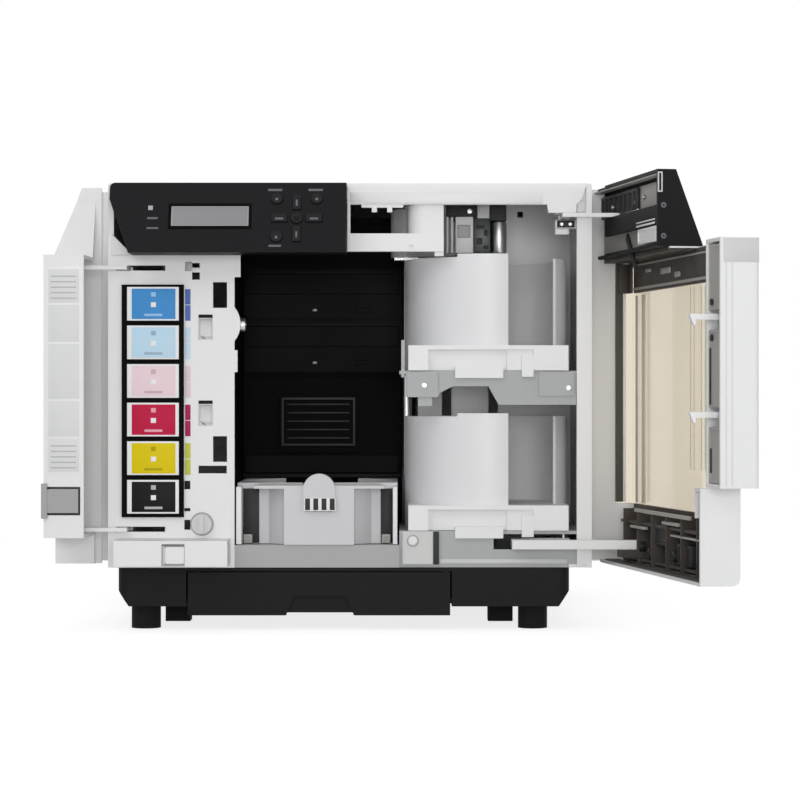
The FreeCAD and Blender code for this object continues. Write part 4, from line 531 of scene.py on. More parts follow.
class PUBLISHER_OT_panel_trim(bpy.types.Operator):
    """Frame the display and print plain marks on the control panel and its buttons"""
    bl_idname = "publisher.panel_trim"
    bl_label = "Control panel trim"

    def execute(self, context):
        def on_panel(name, across, high, proud, edge=None):
            deep = (COVER_FRONT - proud[1], COVER_FRONT - proud[0])
            return block(name, across, deep, (SLANT_BOTTOM + high[0], SLANT_BOTTOM + high[1]), edge)

        front = (0, -1, 0)
        bezel = coat(open_middle(on_panel("display_bezel", (-139, -75), (19.7, 40.8), (0.02, 0.7)), front, 2), "abs_matt_bay_black")
        rim = coat(open_middle(on_panel("display_rim", (-137, -77), (21.5, 39), (0.02, 0.16)), front, 1.1), "abs_display_rim")
        lamp = coat(sink(on_panel("status_lamp", (-154.6, -151), (35.3, 39), (0.02, 0.5)), front, 0.7, 0.2), "abs_display_rim")
        marks = [on_panel("panel_mark", across, (high, high + tall), (0.02, 0.14))
                 for across, high, tall in (((-155.2, -147), 27.7, 1.7), ((-155.4, -146.4), 19.5, 1.5),
                                            ((-62.8, -51.8), 51.4, 1.9), ((-31.6, -20.4), 51.4, 1.9),
                                            ((-61.6, -52), 4.6, 1.7))]
        marks = joined("panel_marks", coat(marks, "silk_screened_grey"))
        lean_back([bezel, rim, lamp, marks])
        cheek = block("panel_cheek", (-185.9, -169.6), (-2.2, -0.1), (292.1, 333.6), 0.2)
        only(cheek)
        bpy.ops.object.mode_set(mode="EDIT")
        bpy.ops.mesh.select_all(action="SELECT")
        bpy.ops.mesh.bisect(plane_co=at(-170, 0, 293), plane_no=(41, 0, 15.4), use_fill=True, clear_outer=True)
        bpy.ops.object.mode_set(mode="OBJECT")
        mount(coat(cheek, "abs_grained_casing"), "casing")
        mount([bezel, rim, lamp, marks], "casing")
        for name in PANEL_BUTTONS:
            low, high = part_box(name)
            middle = ((low + high) / 2 - at(0, 0, 0)) / MM
            wide, tall = {"button_up": (1.5, 5.2), "button_down": (1.5, 5.2), "button_left": (6.4, 1.7),
                          "button_right": (6.4, 1.7), "button_centre": (4.4, 4.4)}.get(name, (2.2, 2.2))
            rise = (middle.z - SLANT_BOTTOM) / math.cos(math.radians(SLANT))
            across = (middle.x - wide / 2, middle.x + wide / 2)
            mark = on_panel(name + "_mark", across, (rise - tall / 2 - 0.4, rise + tall / 2 - 0.4), (1.15, 1.4), 0.1)
            coat(mark, "silk_screened_grey" if name != "button_centre" else "abs_etched_black")
            lean_back([mark])
            mount(mark, name + "_body")
        return {"FINISHED"}


class PUBLISHER_OT_ink_labels(bpy.types.Operator):
    """Put a plain coloured label on each cartridge and the strip of colours beside them"""
    bl_idname = "publisher.ink_labels"
    bl_label = "Ink labels"

    def execute(self, context):
        margin = context.scene.publisher_trim.label_margin
        inks = (("#131315", "#B9B9BA", "#6A6A6C"), ("#E2CB12", "#B5A410", "#C9CC50"),
                ("#C32047", "#EFA9B8", "#B0285F"), ("#F1D9DF", "#D3B6BE", "#EAD2DB"),
                ("#C3E1F3", "#9FB9CB", "#CFE3F3"), ("#4A93D3", "#9CC8EE", "#5C73B8"))
        left, right, pitch, first_low, high = -173.1, -132.9, 30, 90.9, 117.1
        middle = -152.6
        front = (0, -1, 0)
        strips = []
        for number, (ink, mark, strip) in enumerate(inks, start=1):
            rise = pitch * (number - 1)
            names = ["ink_film_%d" % number, "ink_mark_%d" % number, "ink_strip_film_%d" % number]
            for name, value in zip(names, (ink, mark, strip)):
                printed_paper(name, linear(value))
            paper = coat(block("paper", (left, right), (-5.45, -5.05), (first_low + rise, high + rise), 0.15),
                         "paper_label_white")
            film = coat(block("film", (left + margin, right - margin + 1), (-5.6, -5.4),
                              (first_low + 1.2 + rise, high - 1.4 + rise), 0.08), names[0])
            dot = coat(block("dot", (middle - 2, middle + 2), (-5.75, -5.55), (101.4 + rise, 105.2 + rise), 0.08),
                       "paper_label_white")
            tab = coat(block("tab", (middle - 1.9, middle + 1.9), (-5.72, -5.55), (109.5 + rise, 113 + rise), 0.07),
                       names[1])
            bar = coat(block("bar", (middle - 7, middle + 7), (-5.72, -5.55), (94.4 + rise, 96.3 + rise), 0.07),
                       names[1])
            label = joined("ink_label_%d" % number, [paper, film, dot, tab, bar])
            mount(label, "ink_cartridge_%d_body" % number)
            if number > 1:
                halves = [block("strip", (-128.4, -124.2), (-0.35, -0.02), (low + rise, low + 12 + rise), 0.1)
                          for low in (91, 103.6)]
                strips += coat(halves, names[2])
        mount(joined("ink_strip", strips), "casing")
        return {"FINISHED"}


class PUBLISHER_OT_ink_bay_fittings(bpy.types.Operator):
    """Fit the catches' pockets, the hooks' tabs and the frame of the power button to the ink bay's panel"""
    bl_idname = "publisher.ink_bay_fittings"
    bl_label = "Ink bay fittings"

    def execute(self, context):
        front = (0, -1, 0)
        pocket = sink(block("catch_pocket", (-118.6, -106.4), (2.8, 9), (224.6, 247.4), 0.2), front, 1.1, 5.4)
        pick(pocket, lambda centre, normal: normal.z > 0.8 and centre.z < 240 and centre.z > 225)
        bpy.ops.mesh.bevel(offset=3.4 * MM, segments=1, affect="EDGES")
        bpy.ops.object.mode_set(mode="OBJECT")
        pockets = copies(pocket, [(0, 0, -67)])
        coat(pockets, "abs_satin_frame")
        bars = coat(copies(block("catch_bar", (-118, -107), (-0.5, -0.02), (243.2, 245.8)), [(0, 0, -67)]),
                    "abs_etched_black")
        rims = [open_middle(block("catch_rim", (-118.3, -106.7), (-0.3, -0.02), (226.2, 243.2), 0.1), front, 0.8)]
        rims = coat(copies(rims[0], [(0, 0, -67)]), "abs_light_grey_fitting")
        mount(joined("catch_pockets", pockets), "casing")
        mount(joined("catch_bars", bars), "casing")
        mount(joined("catch_rims", rims), "casing")

        tab = coat(block("hole_tab", (-128.4, -123.2), (-0.8, -0.02), (279.6, 286.8)), "acetal_moulded_grey")
        bridge = coat(block("hole_bridge", (-123, -117), (-0.3, 1.5), (278.6, 282.4)), "abs_satin_frame")
        detents = [coat(block("detent", (-129, -124.4), (-0.3, -0.02), span, 0.1), "abs_etched_black")
                   for span in ((109.7, 116.2), (92.6, 95), (78.2, 85.8))]
        mount([tab, bridge], "casing")
        mount(joined("ink_detents", detents), "casing")

        ring = open_middle(block("power_frame", (-143.2, -125.6), (COVER_FRONT - 0.45, COVER_FRONT - 0.02),
                                 (52.2, 68.8)), front, 1.3)
        mount(coat(ring, "acetal_moulded_grey"), "casing")
        # painted shade: a thin dark strip along the top of the power button's frame
        shade = coat(block("power_frame_painted_shade", (-143, -125.8), (COVER_FRONT - 0.7, COVER_FRONT - 0.4), (68, 68.9)),
                     "abs_mechanism_dark")
        mount(shade, "casing")

        # painted shadow: a grey ring behind the lock, a little wider than it, stands for the shadow line round the lock
        rim = round_piece("lock_painted_shadow_ring", (-115.3, -0.15, 82.6), 9.2, 0.26, front, sides=40, edge=0.08)
        mount(coat(rim, "acetal_moulded_grey"), "casing")
        ridges = [block("lock_ridge", (x - 0.45, x + 0.45), (-6.25, -5.9), (77.6, 87.6), 0.1)
                  for x in (-119.8, -110.8)]
        mount(joined("lock_ridges", coat(ridges, "abs_light_grey_fitting")), "lock_body")
        return {"FINISHED"}


class PUBLISHER_OT_bay_fittings(bpy.types.Operator):
    """Fit the disc bay: the locking stud, the drives' lamps and screws, and the printer's frame"""
    bl_idname = "publisher.bay_fittings"
    bl_label = "Disc bay fittings"

    def execute(self, context):
        right = (1, 0, 0)
        front = (0, -1, 0)
        stem = coat(round_piece("stud_stem", (-89.5, 9, 238), 2.6, 4, right, sides=20), "abs_etched_black")
        head = round_piece("stud_head", (-84.6, 9, 238), 5.4, 5.8, right, sides=28, edge=1.1)
        coat(sink(head, right, 2.2, 0.8), "steel_zinc_plated")
        mount(joined("bay_stud", [stem, head]), "casing")

        lamps = []
        screws = []
        for floor in (247, 203):
            lamps.append(sink(block("lamp", (-34, -30.5), (148.3, 148.98), (floor + 6.4, floor + 8.4)), front, 0.4, 0.2))
            for x in (-95.6, 43.6):
                screws.append(screw("drive_screw", (x, 148.4, floor + 8), front, 2.6))
        mount(joined("drive_lamps", coat(lamps, "acetal_moulded_grey")), "casing")
        mount(joined("drive_screws", coat(screws, "abs_mechanism_dark")), "casing")
        lips = [block("drive_lip", (-90, 38), (148.2, 148.98), (floor + 38.6, floor + 40), 0.3) for floor in (247, 203)]
        mount(joined("drive_lips", coat(lips, "abs_etched_black")), "casing")

        frame_rim = open_middle(block("printer_rim", (-59.6, 1.8), (134.9, 135.98), (141, 181.4)), front, 1.6)
        ribs = copies(block("printer_rib", (-55, -3), (137.1, 137.48), (147, 148.2), 0.15),
                      [(0, 0, 7 * i) for i in range(1, 5)])
        panel = coat([frame_rim] + ribs, "abs_mechanism_dark")
        mount(joined("printer_front_frame", panel), "casing")
        slot_lip = coat(block("printer_slot_lip", (-92, 40), (138.6, 139.98), (114.4, 117.6), 0.5), "abs_etched_black")
        mount(slot_lip, "casing")
        return {"FINISHED"}


class PUBLISHER_OT_low_tray(bpy.types.Operator):
    """Fit the rails, dark plates of painted shade beside them, and the rail shoes of the low tray"""
    bl_idname = "publisher.low_tray"
    bl_label = "Low tray"

    def execute(self, context):
        rails = [block("rail", across, (2.2, 23.9), (66.6, 111.6), 0.5) for across in ((-88.9, -84.8), (33.4, 36.9))]
        rails = joined("tray_rails", coat(rails, "polystyrene_polished_well"))
        # painted shade: dark plates on the tray's white front face between the rails and the well, where that face lies
        # in shade
        side_gap_shade_plates = [block("side_gap_painted_shade", across, (23, 23.9), (66.7, 109.5), 0.2) for across in ((-84.6, -72), (23.8, 33.2))]
        side_gap_shade_plates = joined("tray_side_gaps_painted_shade", coat(side_gap_shade_plates, "abs_mechanism_dark"))
        shoes = []
        for x in (-80.6, 28):
            shoe = sink(block("shoe", (x - 3.4, x + 3.4), (18, 22.9), (66.7, 73.6), 0.5), (0, -1, 0), 1.2, 1.5)
            shoes.append(shoe)
        shoes = joined("tray_shoes", coat(shoes, "abs_mechanism_grey"))
        rim = coat(block("tray_rim", (-72, 24), (22.4, 23.9), (110.2, 113.4), 0.5), "abs_mechanism_grey")
        comb = coat(block("tab_comb", (-36, -11), (-3.95, -3.55), (92.8, 102.9), 0.1), "polystyrene_polished_well")
        teeth = copies(block("tooth", (-34.8, -31), (-4.1, -3.9), (93.6, 102.6), 0.06),
                       [(6.4 * i, 0, 0) for i in range(1, 4)])
        comb = joined("tab_comb", [comb] + coat(teeth, "abs_mechanism_dark"))
        mount([rails, side_gap_shade_plates, shoes, rim, comb], "stacker_3_body")
        return {"FINISHED"}


class PUBLISHER_OT_shelf_fittings(bpy.types.Operator):
    """Fit the cap, the groove and the lower edge of the shelf's front"""
    bl_idname = "publisher.shelf_fittings"
    bl_label = "Shelf fittings"

    def execute(self, context):
        front = (0, -1, 0)
        pad = coat(sink(block("shelf_pad", (41, 64.6), (2.4, 2.98), (51, 76.8), 0.3), front, 0.8, 0.25),
                   "abs_light_grey_fitting")
        ring = coat(round_piece("cap_ring", (49, 2.2, 69.4), 4.7, 0.5, front, sides=28, edge=0.1), "abs_mechanism_grey")
        cap = round_piece("shelf_cap", (49, 1.8, 69.4), 3.6, 1.2, front, sides=28, edge=0.5)
        coat(sink(cap, front, 1.5, 0.4), "abs_satin_frame")
        mount([pad, ring, cap], "casing")
        groove = coat(block("shelf_groove", (65, 69.4), (2.6, 2.98), (50.8, 76.6), 0.1), "abs_mechanism_dark")
        mount(groove, "casing")
        edge = coat(block("shelf_edge", (70, 169.6), (4.1, 4.98), (51.4, 55), 0.3), "abs_light_grey_fitting")
        mount(edge, "casing")
        screws = [screw("shelf_screw", (x, 2.4, z), front, 2.2) for x, z in ((58, 190.6), (170.6, 188.6))]
        mount(joined("shelf_screws", coat(screws, "steel_zinc_plated")), "casing")
        return {"FINISHED"}


class PUBLISHER_OT_top_works(bpy.types.Operator):
    """Fit the white bar's lip and the parts round the disc cover's upper hinge"""
    bl_idname = "publisher.top_works"
    bl_label = "Top works"

    def execute(self, context):
        front = (0, -1, 0)
        lip = coat(block("bar_lip", (0.4, 150), (-2.7, -2.02), (332.2, 341.4), 0.5), "abs_satin_frame")
        mount(lip, "casing")
        housing = block("hinge_housing", (162.2, 176), (13.6, 14.8), (314.6, 320.2), 0.3)
        coat(sink(housing, front, 1, 0.5), "abs_mechanism_dark")
        bolts = [screw("hinge_bolt", (x, 13.4, 317.2), front, 1.5) for x in (166, 172.6)]
        coat(bolts, "steel_zinc_plated")
        mount(joined("hinge_housing", [housing] + bolts), "casing")
        stop = coat(sink(block("hinge_stop", (160.8, 171.8), (15.4, 21), (309.2, 314), 0.5), front, 1.2, 0.6),
                    "abs_satin_frame")
        mount(stop, "casing")
        end = coat(sink(block("column_end", (177.2, 183.6), (-1.2, -0.05), (325.2, 335), 0.3), front, 1, 0.5),
                   "abs_light_grey_fitting")
        mount(end, "casing")
        mount(coat(screw("bracket_screw", (66, 2.4, 296.6), front, 1.6), "steel_zinc_plated"), "casing")
        return {"FINISHED"}


class PUBLISHER_OT_picker(bpy.types.Operator):
    """Model the picker's gearbox, board, motor, plates and claws in place of the plain head"""
    bl_idname = "publisher.picker"
    bl_label = "Picker"

    def execute(self, context):
        front = (0, -1, 0)
        box = [(corner - at(0, 0, 0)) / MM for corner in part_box("picker_head")]
        x, top, floor = 108, box[1].z, 297
        near = 56
        carrier = block("carrier", (x - 26, x + 12), (60, 78), (top - 12.4, top - 0.1), 0.8)
        black_left = sink(block("head_left", (x - 31.8, x - 7.9), (near, 73), (top - 9.4, top - 0.1), 0.5), front, 1.4, 0.6)
        black_right = sink(block("head_right", (x + 2.9, x + 16.3), (near, 71), (top - 12.6, top - 0.1), 0.5), front, 1.2, 0.5)
        coat([carrier, black_left, black_right], "abs_mechanism_dark")
        light = coat(sink(block("head_light", (x - 7, x + 2.6), (near - 1.4, 71), (top - 10.8, top - 0.4), 0.4), front, 1.2, -0.4),
                     "abs_light_grey_fitting")
        spot = coat(screw("head_screw", (x - 13.2, near - 0.3, top - 5), front, 2.2), "steel_zinc_plated")
        gearbox = coat(block("gearbox", (x - 24.5, x - 10.4), (near - 1, 64.4), (floor, top - 9.6), 0.5),
                       "abs_satin_frame")
        pad = coat(sink(block("gear_pad", (x - 23, x - 12.6), (near - 1.8, near - 0.9), (top - 26.4, top - 16.1), 0.3), front, 1, 0.3),
                   "acetal_moulded_grey")
        board = coat(block("head_board", (x - 9.6, x + 3.4), (near + 2, 64.4), (floor + 0.2, top - 11), 0.3),
                     "glass_epoxy_board")
        chips = [block("chip", across, (near + 1, near + 1.95), up, 0.15)
                 for across, up in (((x - 7.6, x - 3), (304, 309)), ((x - 1.6, x + 1.6), (311, 315.6)),
                                    ((x - 7.4, x - 1), (316.6, 319.4)), ((x - 2, x + 1.8), (300.2, 303)))]
        coat(chips, "abs_mechanism_dark")
        motor = round_piece("head_motor", (x + 10.5, near + 7, 309.6), 6.1, 25.2, (0, 0, 1), sides=40, edge=0.8)
        coat(motor, "steel_zinc_plated")
        plates = [block("side_plate", across, (near, 68), (floor, top - 9.6), 0.3)
                  for across in ((x - 31.8, x - 30.2), (x - 28.3, x - 26.3))]
        coat(plates, "abs_light_grey_fitting")
        stem = coat(round_piece("head_stem", (x, 72, (293.8 + top - 12) / 2), 7, top - 12 - 293.8, (0, 0, 1), edge=0.6),
                    "abs_mechanism_dark")
        claws = []
        for turn in (30, 150, 270):
            angle = math.radians(turn)
            place = (x + 4.4 * math.cos(angle), 72 + 4.4 * math.sin(angle), 292.9)
            claws.append(round_piece("claw", place, 1.5, 1.6, (0, 0, 1), sides=16))
        coat(claws, "steel_zinc_plated")
        head = joined("picker_head_detailed", [carrier, black_left, black_right, light, spot, gearbox, pad, board,
                                               motor, stem] + chips + plates + claws)
        mount(head, "picker_body")
        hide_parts("picker_head")
        return {"FINISHED"}


class PUBLISHER_OT_disc_cover(bpy.types.Operator):
    """Fit the inside of the disc cover: its upper works, seals, ribs, catches and lower band"""
    bl_idname = "publisher.disc_cover"
    bl_label = "Disc cover inside"

    def execute(self, context):
        rear = (0, 1, 0)
        end = (-1, 0, 0)
        pieces = []

        lining = block("fairing_lining", (1.4, 186), (-14.6, -13.6), (293.4, 321), 0.2)
        upper = block("fairing_lining", (1.4, 186), (-14.4, -13.4), (321, 340.6), 0.2)
        rim = block("fairing_rim", (1.4, 186), (-12.6, -5.2), (343, 344.3), 0.4)
        pieces.append(joined("fairing_lining", coat([lining, upper, rim], "abs_mechanism_grey")))

        works = sink(block("fairing_works", (76, 183), (-13.2, -10.4), (322.6, 340), 0.6), rear, 2.4, 0.8)
        ribs = copies(block("works_rib", (84, 85.6), (-10.6, -9.8), (324, 338), 0.3),
                      [(14 * i, 0, 0) for i in range(1, 7)])
        pieces.append(joined("fairing_works", coat([works] + ribs, "abs_mechanism_dark")))
        rod = round_piece("works_rod", (92, -11.6, 322.8), 1.2, 34, (1, 0, 0), sides=20)
        pins = [round_piece("works_pin", place, 1.8, 2.4, rear, sides=20)
                for place in ((141.4, -9.2, 329.4), (86.9, -12.2, 329.2), (61.4, -12.2, 331.4))]
        pieces.append(joined("fairing_rods", coat([rod] + pins, "steel_zinc_plated")))

        stop = sink(block("fairing_stop", (5.4, 55), (-7.4, -5.2), (294.8, 306.4), 0.5), rear, 1.4, 0.5)
        lines = [block("beam_line", (5, 56), (-4.75, -4.4), up, 0.12) for up in ((307.8, 309.2), (310.6, 311.6))]
        pieces.append(joined("fairing_stop", coat([stop] + lines, "abs_satin_frame")))
        strap = block("damper_strap", (95.8, 102.2), (-13.2, -11.6), (274, 310.5), 0.5)
        move_all([strap], about(at(99, 0, 292.2), 45, "Y"))
        pieces.append(coat(strap, "abs_mechanism_dark"))

        clip = open_middle(block("fairing_clip", (-2, -1.64), (-8.6, -4.9), (330.2, 345), 0.12), end, 0.9)
        pieces.append(coat(clip, "abs_light_grey_fitting"))
        heads = [screw("end_screw", (-1.35, -9.4, z), end, 2.1) for z in (320.8, 298.4)]
        pieces.append(joined("end_screws", coat(heads, "silk_screened_grey")))

        bits = [block("band_bit", across, (-34.4, -32.8), up, 0.4)
                for across, up in (((121, 133), (278.4, 281)), ((66, 90), (275, 279.6)), ((40, 52), (271, 275)))]
        bits += [block("band_rail", (-60, 172), (-34.4, -33.6), up, 0.3) for up in ((266, 268.2), (285, 286.4))]
        pieces.append(joined("window_top_works", coat(bits, "abs_mechanism_grey")))

        lining = [block("rail_lining", (1.6, 182), (-34.2, -14.2), (287.8, 289.6), 0.3),
                  block("rail_edging", (1.4, 185), (-13.95, -13.4), (287.8, 291.2), 0.1),
                  block("band_corner", (172, 181.4), (-33.6, -31.8), (264, 287.6), 0.3),
                  block("band_corner", (180.6, 182.8), (-31.9, -24.4), (264, 287.6), 0.3)]
        pieces.append(joined("rail_lining", coat(lining, "abs_mechanism_brown")))
        seal = coat(block("window_seal", (183.5, 185), (-28.6, -22.3), (98, 289), 0.3), "rubber_window_seal")
        line = coat(block("window_edge_line", (182.4, 183.9), (-30.6, -28.8), (98, 265), 0.3), "abs_satin_frame")
        pieces += [seal, line]
        # painted shade and painted highlight: a darker strip and a wide pale strip on the window stand for a dark and a
        # light stripe; the thin pale strips are ribs
        painted_shade_rib = coat(block("window_rib_painted_shade", (167.4, 173.2), (-36.4, -35.9), (98, 262), 0.2),
                      "acrylic_rib_painted_shade")
        pale_ribs_and_painted_highlight = [block("window_pale_rib_and_painted_highlight", across, (-36.4, -35.9), (low, 262), 0.2)
                for across, low in (((144, 155), 98), ((19.4, 20.8), 128), ((10.4, 11.6), 128),
                                    ((-7.8, -6.6), 128), ((-17.4, -16.2), 128))]
        pieces.append(joined("window_ribs_and_painted_stripes", [painted_shade_rib] + coat(pale_ribs_and_painted_highlight, "acrylic_pale_rib_and_painted_highlight")))

        back = [sink(block("handle_back", (-121.6, -94.8), (-16.4, -15), up, 0.4), rear, 1.6, 0.4)
                for up in ((122, 160.4), (174, 227.4), (241, 286))]
        pieces.append(joined("handle_back", coat(back, "abs_mechanism_grey")))
        marks = [screw("handle_screw", place, rear, 2.4) for place in ((-103.3, -14.5, 246.6), (-103.3, -14.5, 222))]
        marks.append(block("handle_slot", (-101.6, -98.6), (-15, -14.7), (129, 146), 0.1))
        marks.append(block("handle_slot", (-100, -97.4), (-15, -14.7), (176, 215), 0.1))
        pieces.append(joined("handle_marks", coat(marks, "abs_mechanism_dark")))

        # painted shade: the cap on the handle's top end is the handle's plastic drawn greyer for the shade on its
        # angled face; the seams are grooves
        cap = block("handle_cap_painted_shade", (-125.75, -125.52), (-41.4, -16.2), (273, 289.4), 0.08)
        seams = [block("handle_seam", (-125.68, -125.52), deep, (120.5, 272.6), 0.05)
                 for deep in ((-18.4, -17.9), (-22.6, -22.1))]
        pieces.append(joined("handle_seams_and_painted_shade", coat([cap] + seams, "abs_light_grey_fitting")))

        strip = block("band_strip", (-24, 124), (-24, -21.4), (92.6, 95.4), 0.4)
        shelves = [block("band_shelf", across, (-26, -22), up, 0.4)
                   for across, up in (((-46, 26), (78.6, 80)), ((8, 49), (86.6, 88.8)), ((100, 139), (79.8, 82)))]
        pieces.append(joined("band_strips", coat([strip] + shelves, "abs_mechanism_grey")))
        foot = coat(block("band_floor", (-88, 172), (-21.9, -10.3), (52.6, 53.5), 0.3), "abs_mechanism_brown")
        pieces.append(foot)
        bosses = [sink(round_piece("band_boss", place, 4.2, 5, rear, sides=24, edge=0.6), rear, 1.4, 1.6)
                  for place in ((118, -26, 66), (92, -26, 62), (26, -26, 64), (-40, -26, 70))]
        tanks = [sink(block("band_tank", across, (-32, -25), up, 0.8), rear, 1.6, 1)
                 for across, up in (((-74, -50), (57, 88)), ((-18, 18), (58, 74)), ((44, 78), (70, 84)))]
        pieces.append(joined("band_works", coat(bosses + tanks, "abs_mechanism_dark")))

        swing_open(pieces, "disc_cover_hinge", 100)
        mount(pieces, "disc_cover_body")
        return {"FINISHED"}


class PUBLISHER_OT_ink_cover(bpy.types.Operator):
    """Fit the bare label, the latch's recess and the inner ribs of the ink cover"""
    bl_idname = "publisher.ink_cover"
    bl_label = "Ink cover inside"

    def execute(self, context):
        edge = (1, 0, 0)
        rear = (0, 1, 0)
        pieces = []
        sheet = block("ink_cover_label", (-126.98, -126.7), (-36.4, -10.2), (121.6, 282), 0.1)
        panels = [block("label_panel", (-126.75, -126.62), (-35.2, -11.4), up, 0.04)
                  for up in ((124, 149.4), (151, 178.4), (180, 222.4), (224, 252.4), (254, 279.6))]
        coat(panels, "paper_label_tinted")
        rules = [block("label_rule", (-126.66, -126.56), (-33.4, -13.6), (low + 4.2 * i, low + 1 + 4.2 * i), 0.03)
                 for low in (126.6, 257) for i in range(5)]
        coat(rules, "paper_label_ruled")
        panels += rules
        coat(sheet, "paper_label_white")
        pieces.append(joined("ink_cover_label", [sheet] + panels))
        rim = open_middle(block("latch_rim", (-126.98, -126.74), (-36.4, -10.6), (90.6, 112.4), 0.08), edge, 1.6)
        pieces.append(coat(rim, "abs_mechanism_dark"))
        skirt = block("cover_skirt", (-190.5, -188.7), (-6, 4.4), (52, 344), 0.5)
        pieces.append(coat(skirt, "abs_grained_casing"))
        ribs = [block("cover_rib", (-186, -128), (-36.4, -34.6), (low, low + 1.6), 0.5) for low in (80, 178, 286)]
        pieces.append(joined("ink_cover_ribs", coat(ribs, "abs_grained_casing")))
        swing_open(pieces, "ink_cover_hinge", -92)
        mount(pieces, "ink_cover_body")
        caps = [round_piece("arm_cap", (-175, 19.5, z), 2.9, 0.5, (0, 0, 1), sides=24, edge=0.15)
                for z in (285.6, 80.2)]
        mount(joined("ink_pin_caps", coat(caps, "abs_mechanism_dark")), "casing")
        return {"FINISHED"}


class PUBLISHER_OT_back_and_sides(bpy.types.Operator):
    """Screw the side covers to the frame near the back"""
    bl_idname = "publisher.back_and_sides"
    bl_label = "Back and sides"

    def execute(self, context):
        screws = [screw("casing_screw", (188.6 * side, 402, z), (side, 0, 0)) for side in (-1, 1) for z in (60, 336)]
        mount(joined("casing_screws", coat(screws, "steel_zinc_plated")), "casing")
        return {"FINISHED"}


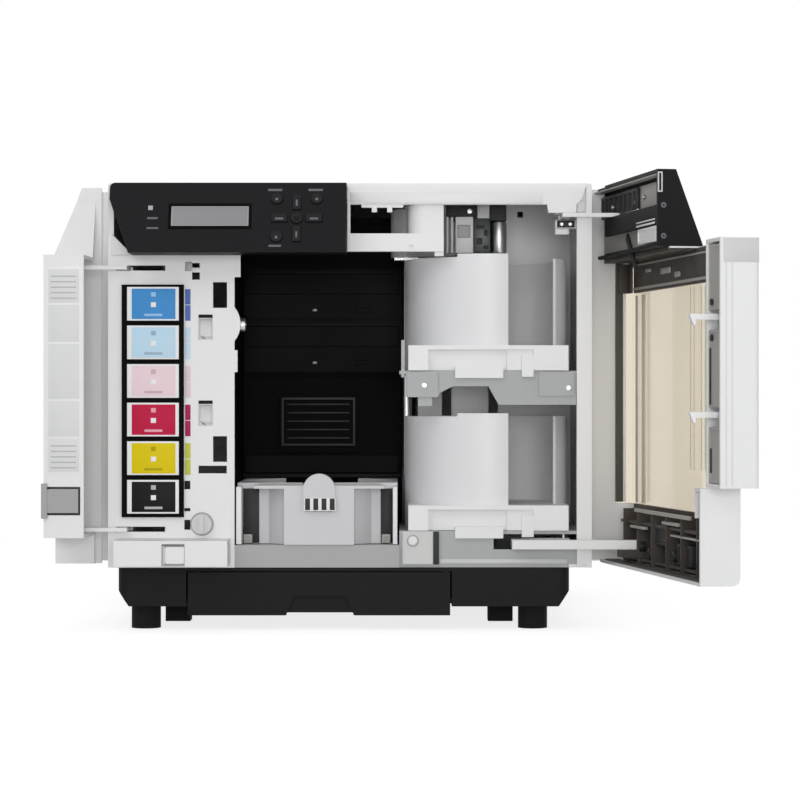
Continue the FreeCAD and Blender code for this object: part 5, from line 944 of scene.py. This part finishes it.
class PUBLISHER_OT_stage(bpy.types.Operator):
    """Set the floor, the lamps and the camera"""
    bl_idname = "publisher.stage"
    bl_label = "Stage"

    def execute(self, context):
        stage = context.scene.publisher_stage
        clear()
        bpy.ops.object.camera_add(location=(stage.camera_right, -stage.camera_front, stage.camera_height),
                                  rotation=(math.radians(90), 0, 0))
        camera = context.object
        camera.data.lens = stage.lens
        camera.data.sensor_width = 36
        camera.data.clip_end = 60
        context.scene.camera = camera
        context.scene.view_settings.view_transform = "Standard"

        bpy.ops.mesh.primitive_plane_add(size=30, location=(0, 0, -0.0004))
        floor = context.object
        floor.name = "floor"
        material, tree, output = new_material("studio_floor")
        ray = add(tree, "ShaderNodeLightPath")
        # To the camera the floor is white paper that still takes the object's shadow.
        paper = add(tree, "ShaderNodeBsdfDiffuse", {"Color": (0.4, 0.4, 0.4, 1)})
        glow = add(tree, "ShaderNodeEmission", {"Color": (1, 1, 1, 1), "Strength": 0.8})
        near = add(tree, "ShaderNodeAddShader", {0: paper.outputs["BSDF"], 1: glow.outputs["Emission"]})
        # Away from the object it fades into the white of the room, so that no horizon shows.
        place = add(tree, "ShaderNodeTexCoord").outputs["Object"]
        reach = add(tree, "ShaderNodeMapping", {"Vector": place, "Scale": (0.75, 0.75, 0.75)})
        fade = add(tree, "ShaderNodeTexGradient", {"Vector": reach.outputs["Vector"]}, gradient_type="SPHERICAL")
        part = add(tree, "ShaderNodeMapRange", {"Value": fade.outputs["Fac"], "From Max": 0.4})
        far = add(tree, "ShaderNodeEmission", {"Color": (1, 1, 1, 1), "Strength": 1.0})
        seen = add(tree, "ShaderNodeMixShader", {0: part.outputs["Result"], 1: far.outputs["Emission"],
                                                 2: near.outputs["Shader"]})
        plain = add(tree, "ShaderNodeBsdfDiffuse", {"Color": (0.7, 0.7, 0.7, 1)})
        direct = add(tree, "ShaderNodeMath", {0: ray.outputs["Is Camera Ray"], 1: ray.outputs["Is Glossy Ray"]},
                     operation="MAXIMUM")
        direct = add(tree, "ShaderNodeMath", {0: direct.outputs["Value"], 1: ray.outputs["Is Transmission Ray"]},
                     operation="MAXIMUM")
        mixed = add(tree, "ShaderNodeMixShader", {0: direct.outputs["Value"], 1: plain.outputs["BSDF"],
                                                  2: seen.outputs["Shader"]})
        tree.links.new(mixed.outputs["Shader"], output.inputs["Surface"])
        floor.data.materials.append(material)

        world = bpy.data.worlds.new("studio")
        context.scene.world = world
        world.use_nodes = True
        tree = world.node_tree
        tree.nodes.clear()
        output = tree.nodes.new("ShaderNodeOutputWorld")
        ray = add(tree, "ShaderNodeLightPath")
        seen = add(tree, "ShaderNodeMath", {0: ray.outputs["Is Camera Ray"], 1: ray.outputs["Is Glossy Ray"]},
                   operation="MAXIMUM")
        seen = add(tree, "ShaderNodeMath", {0: seen.outputs["Value"], 1: ray.outputs["Is Transmission Ray"]},
                   operation="MAXIMUM")
        white = add(tree, "ShaderNodeBackground", {"Color": (1, 1, 1, 1), "Strength": 1.0})
        soft = add(tree, "ShaderNodeBackground", {"Color": (0.95, 0.97, 1.0, 1), "Strength": stage.room})
        mixed = add(tree, "ShaderNodeMixShader", {0: seen.outputs["Value"], 1: soft.outputs["Background"],
                                                  2: white.outputs["Background"]})
        tree.links.new(mixed.outputs["Shader"], output.inputs["Surface"])

        for name, place, size, power in (("key", (-1.2, -2.2, 1.8), 1.6, stage.key),
                                         ("front", (0.15, -2.9, 0.28), 0.9, stage.front),
                                         ("fill", (1.8, -2.0, 0.9), 1.6, stage.fill),
                                         ("top", (0, 0, 2.4), 2.0, stage.top)):
            bpy.ops.object.light_add(type="AREA", location=place)
            lamp = context.object
            lamp.name = name
            lamp.data.size = size
            lamp.data.energy = power
            aim = Vector((0, -0.05, 0.17)) - Vector(place)
            lamp.rotation_euler = aim.to_track_quat("-Z", "Y").to_euler()
        return {"FINISHED"}


class PUBLISHER_PT_panel(bpy.types.Panel):
    """Lists the machine's operators"""
    bl_label = "Disc publisher"
    bl_space_type = "VIEW_3D"
    bl_region_type = "UI"
    bl_category = "Disc publisher"

    def draw(self, context):
        for operator in OPERATORS:
            self.layout.operator(operator.bl_idname)


OPERATORS = (PUBLISHER_OT_stage, PUBLISHER_OT_finishes, PUBLISHER_OT_panel_trim, PUBLISHER_OT_ink_labels,
             PUBLISHER_OT_ink_bay_fittings, PUBLISHER_OT_bay_fittings, PUBLISHER_OT_low_tray,
             PUBLISHER_OT_shelf_fittings, PUBLISHER_OT_top_works, PUBLISHER_OT_picker, PUBLISHER_OT_disc_cover,
             PUBLISHER_OT_ink_cover, PUBLISHER_OT_back_and_sides)
GROUPS = {"publisher_colours": PublisherColours, "publisher_stage": PublisherStage, "publisher_trim": PublisherTrim}


def register():
    for cls in (*GROUPS.values(), *OPERATORS, PUBLISHER_PT_panel):
        bpy.utils.register_class(cls)
    for name, group in GROUPS.items():
        setattr(bpy.types.Scene, name, bpy.props.PointerProperty(type=group))


def unregister():
    for name in GROUPS:
        delattr(bpy.types.Scene, name)
    for cls in reversed((*GROUPS.values(), *OPERATORS, PUBLISHER_PT_panel)):
        bpy.utils.unregister_class(cls)


def main():
    """Register the add-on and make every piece."""
    register()
    for operator in OPERATORS:
        group, name = operator.bl_idname.split(".")
        getattr(getattr(bpy.ops, group), name)()


if __name__ == "__main__":
    main()
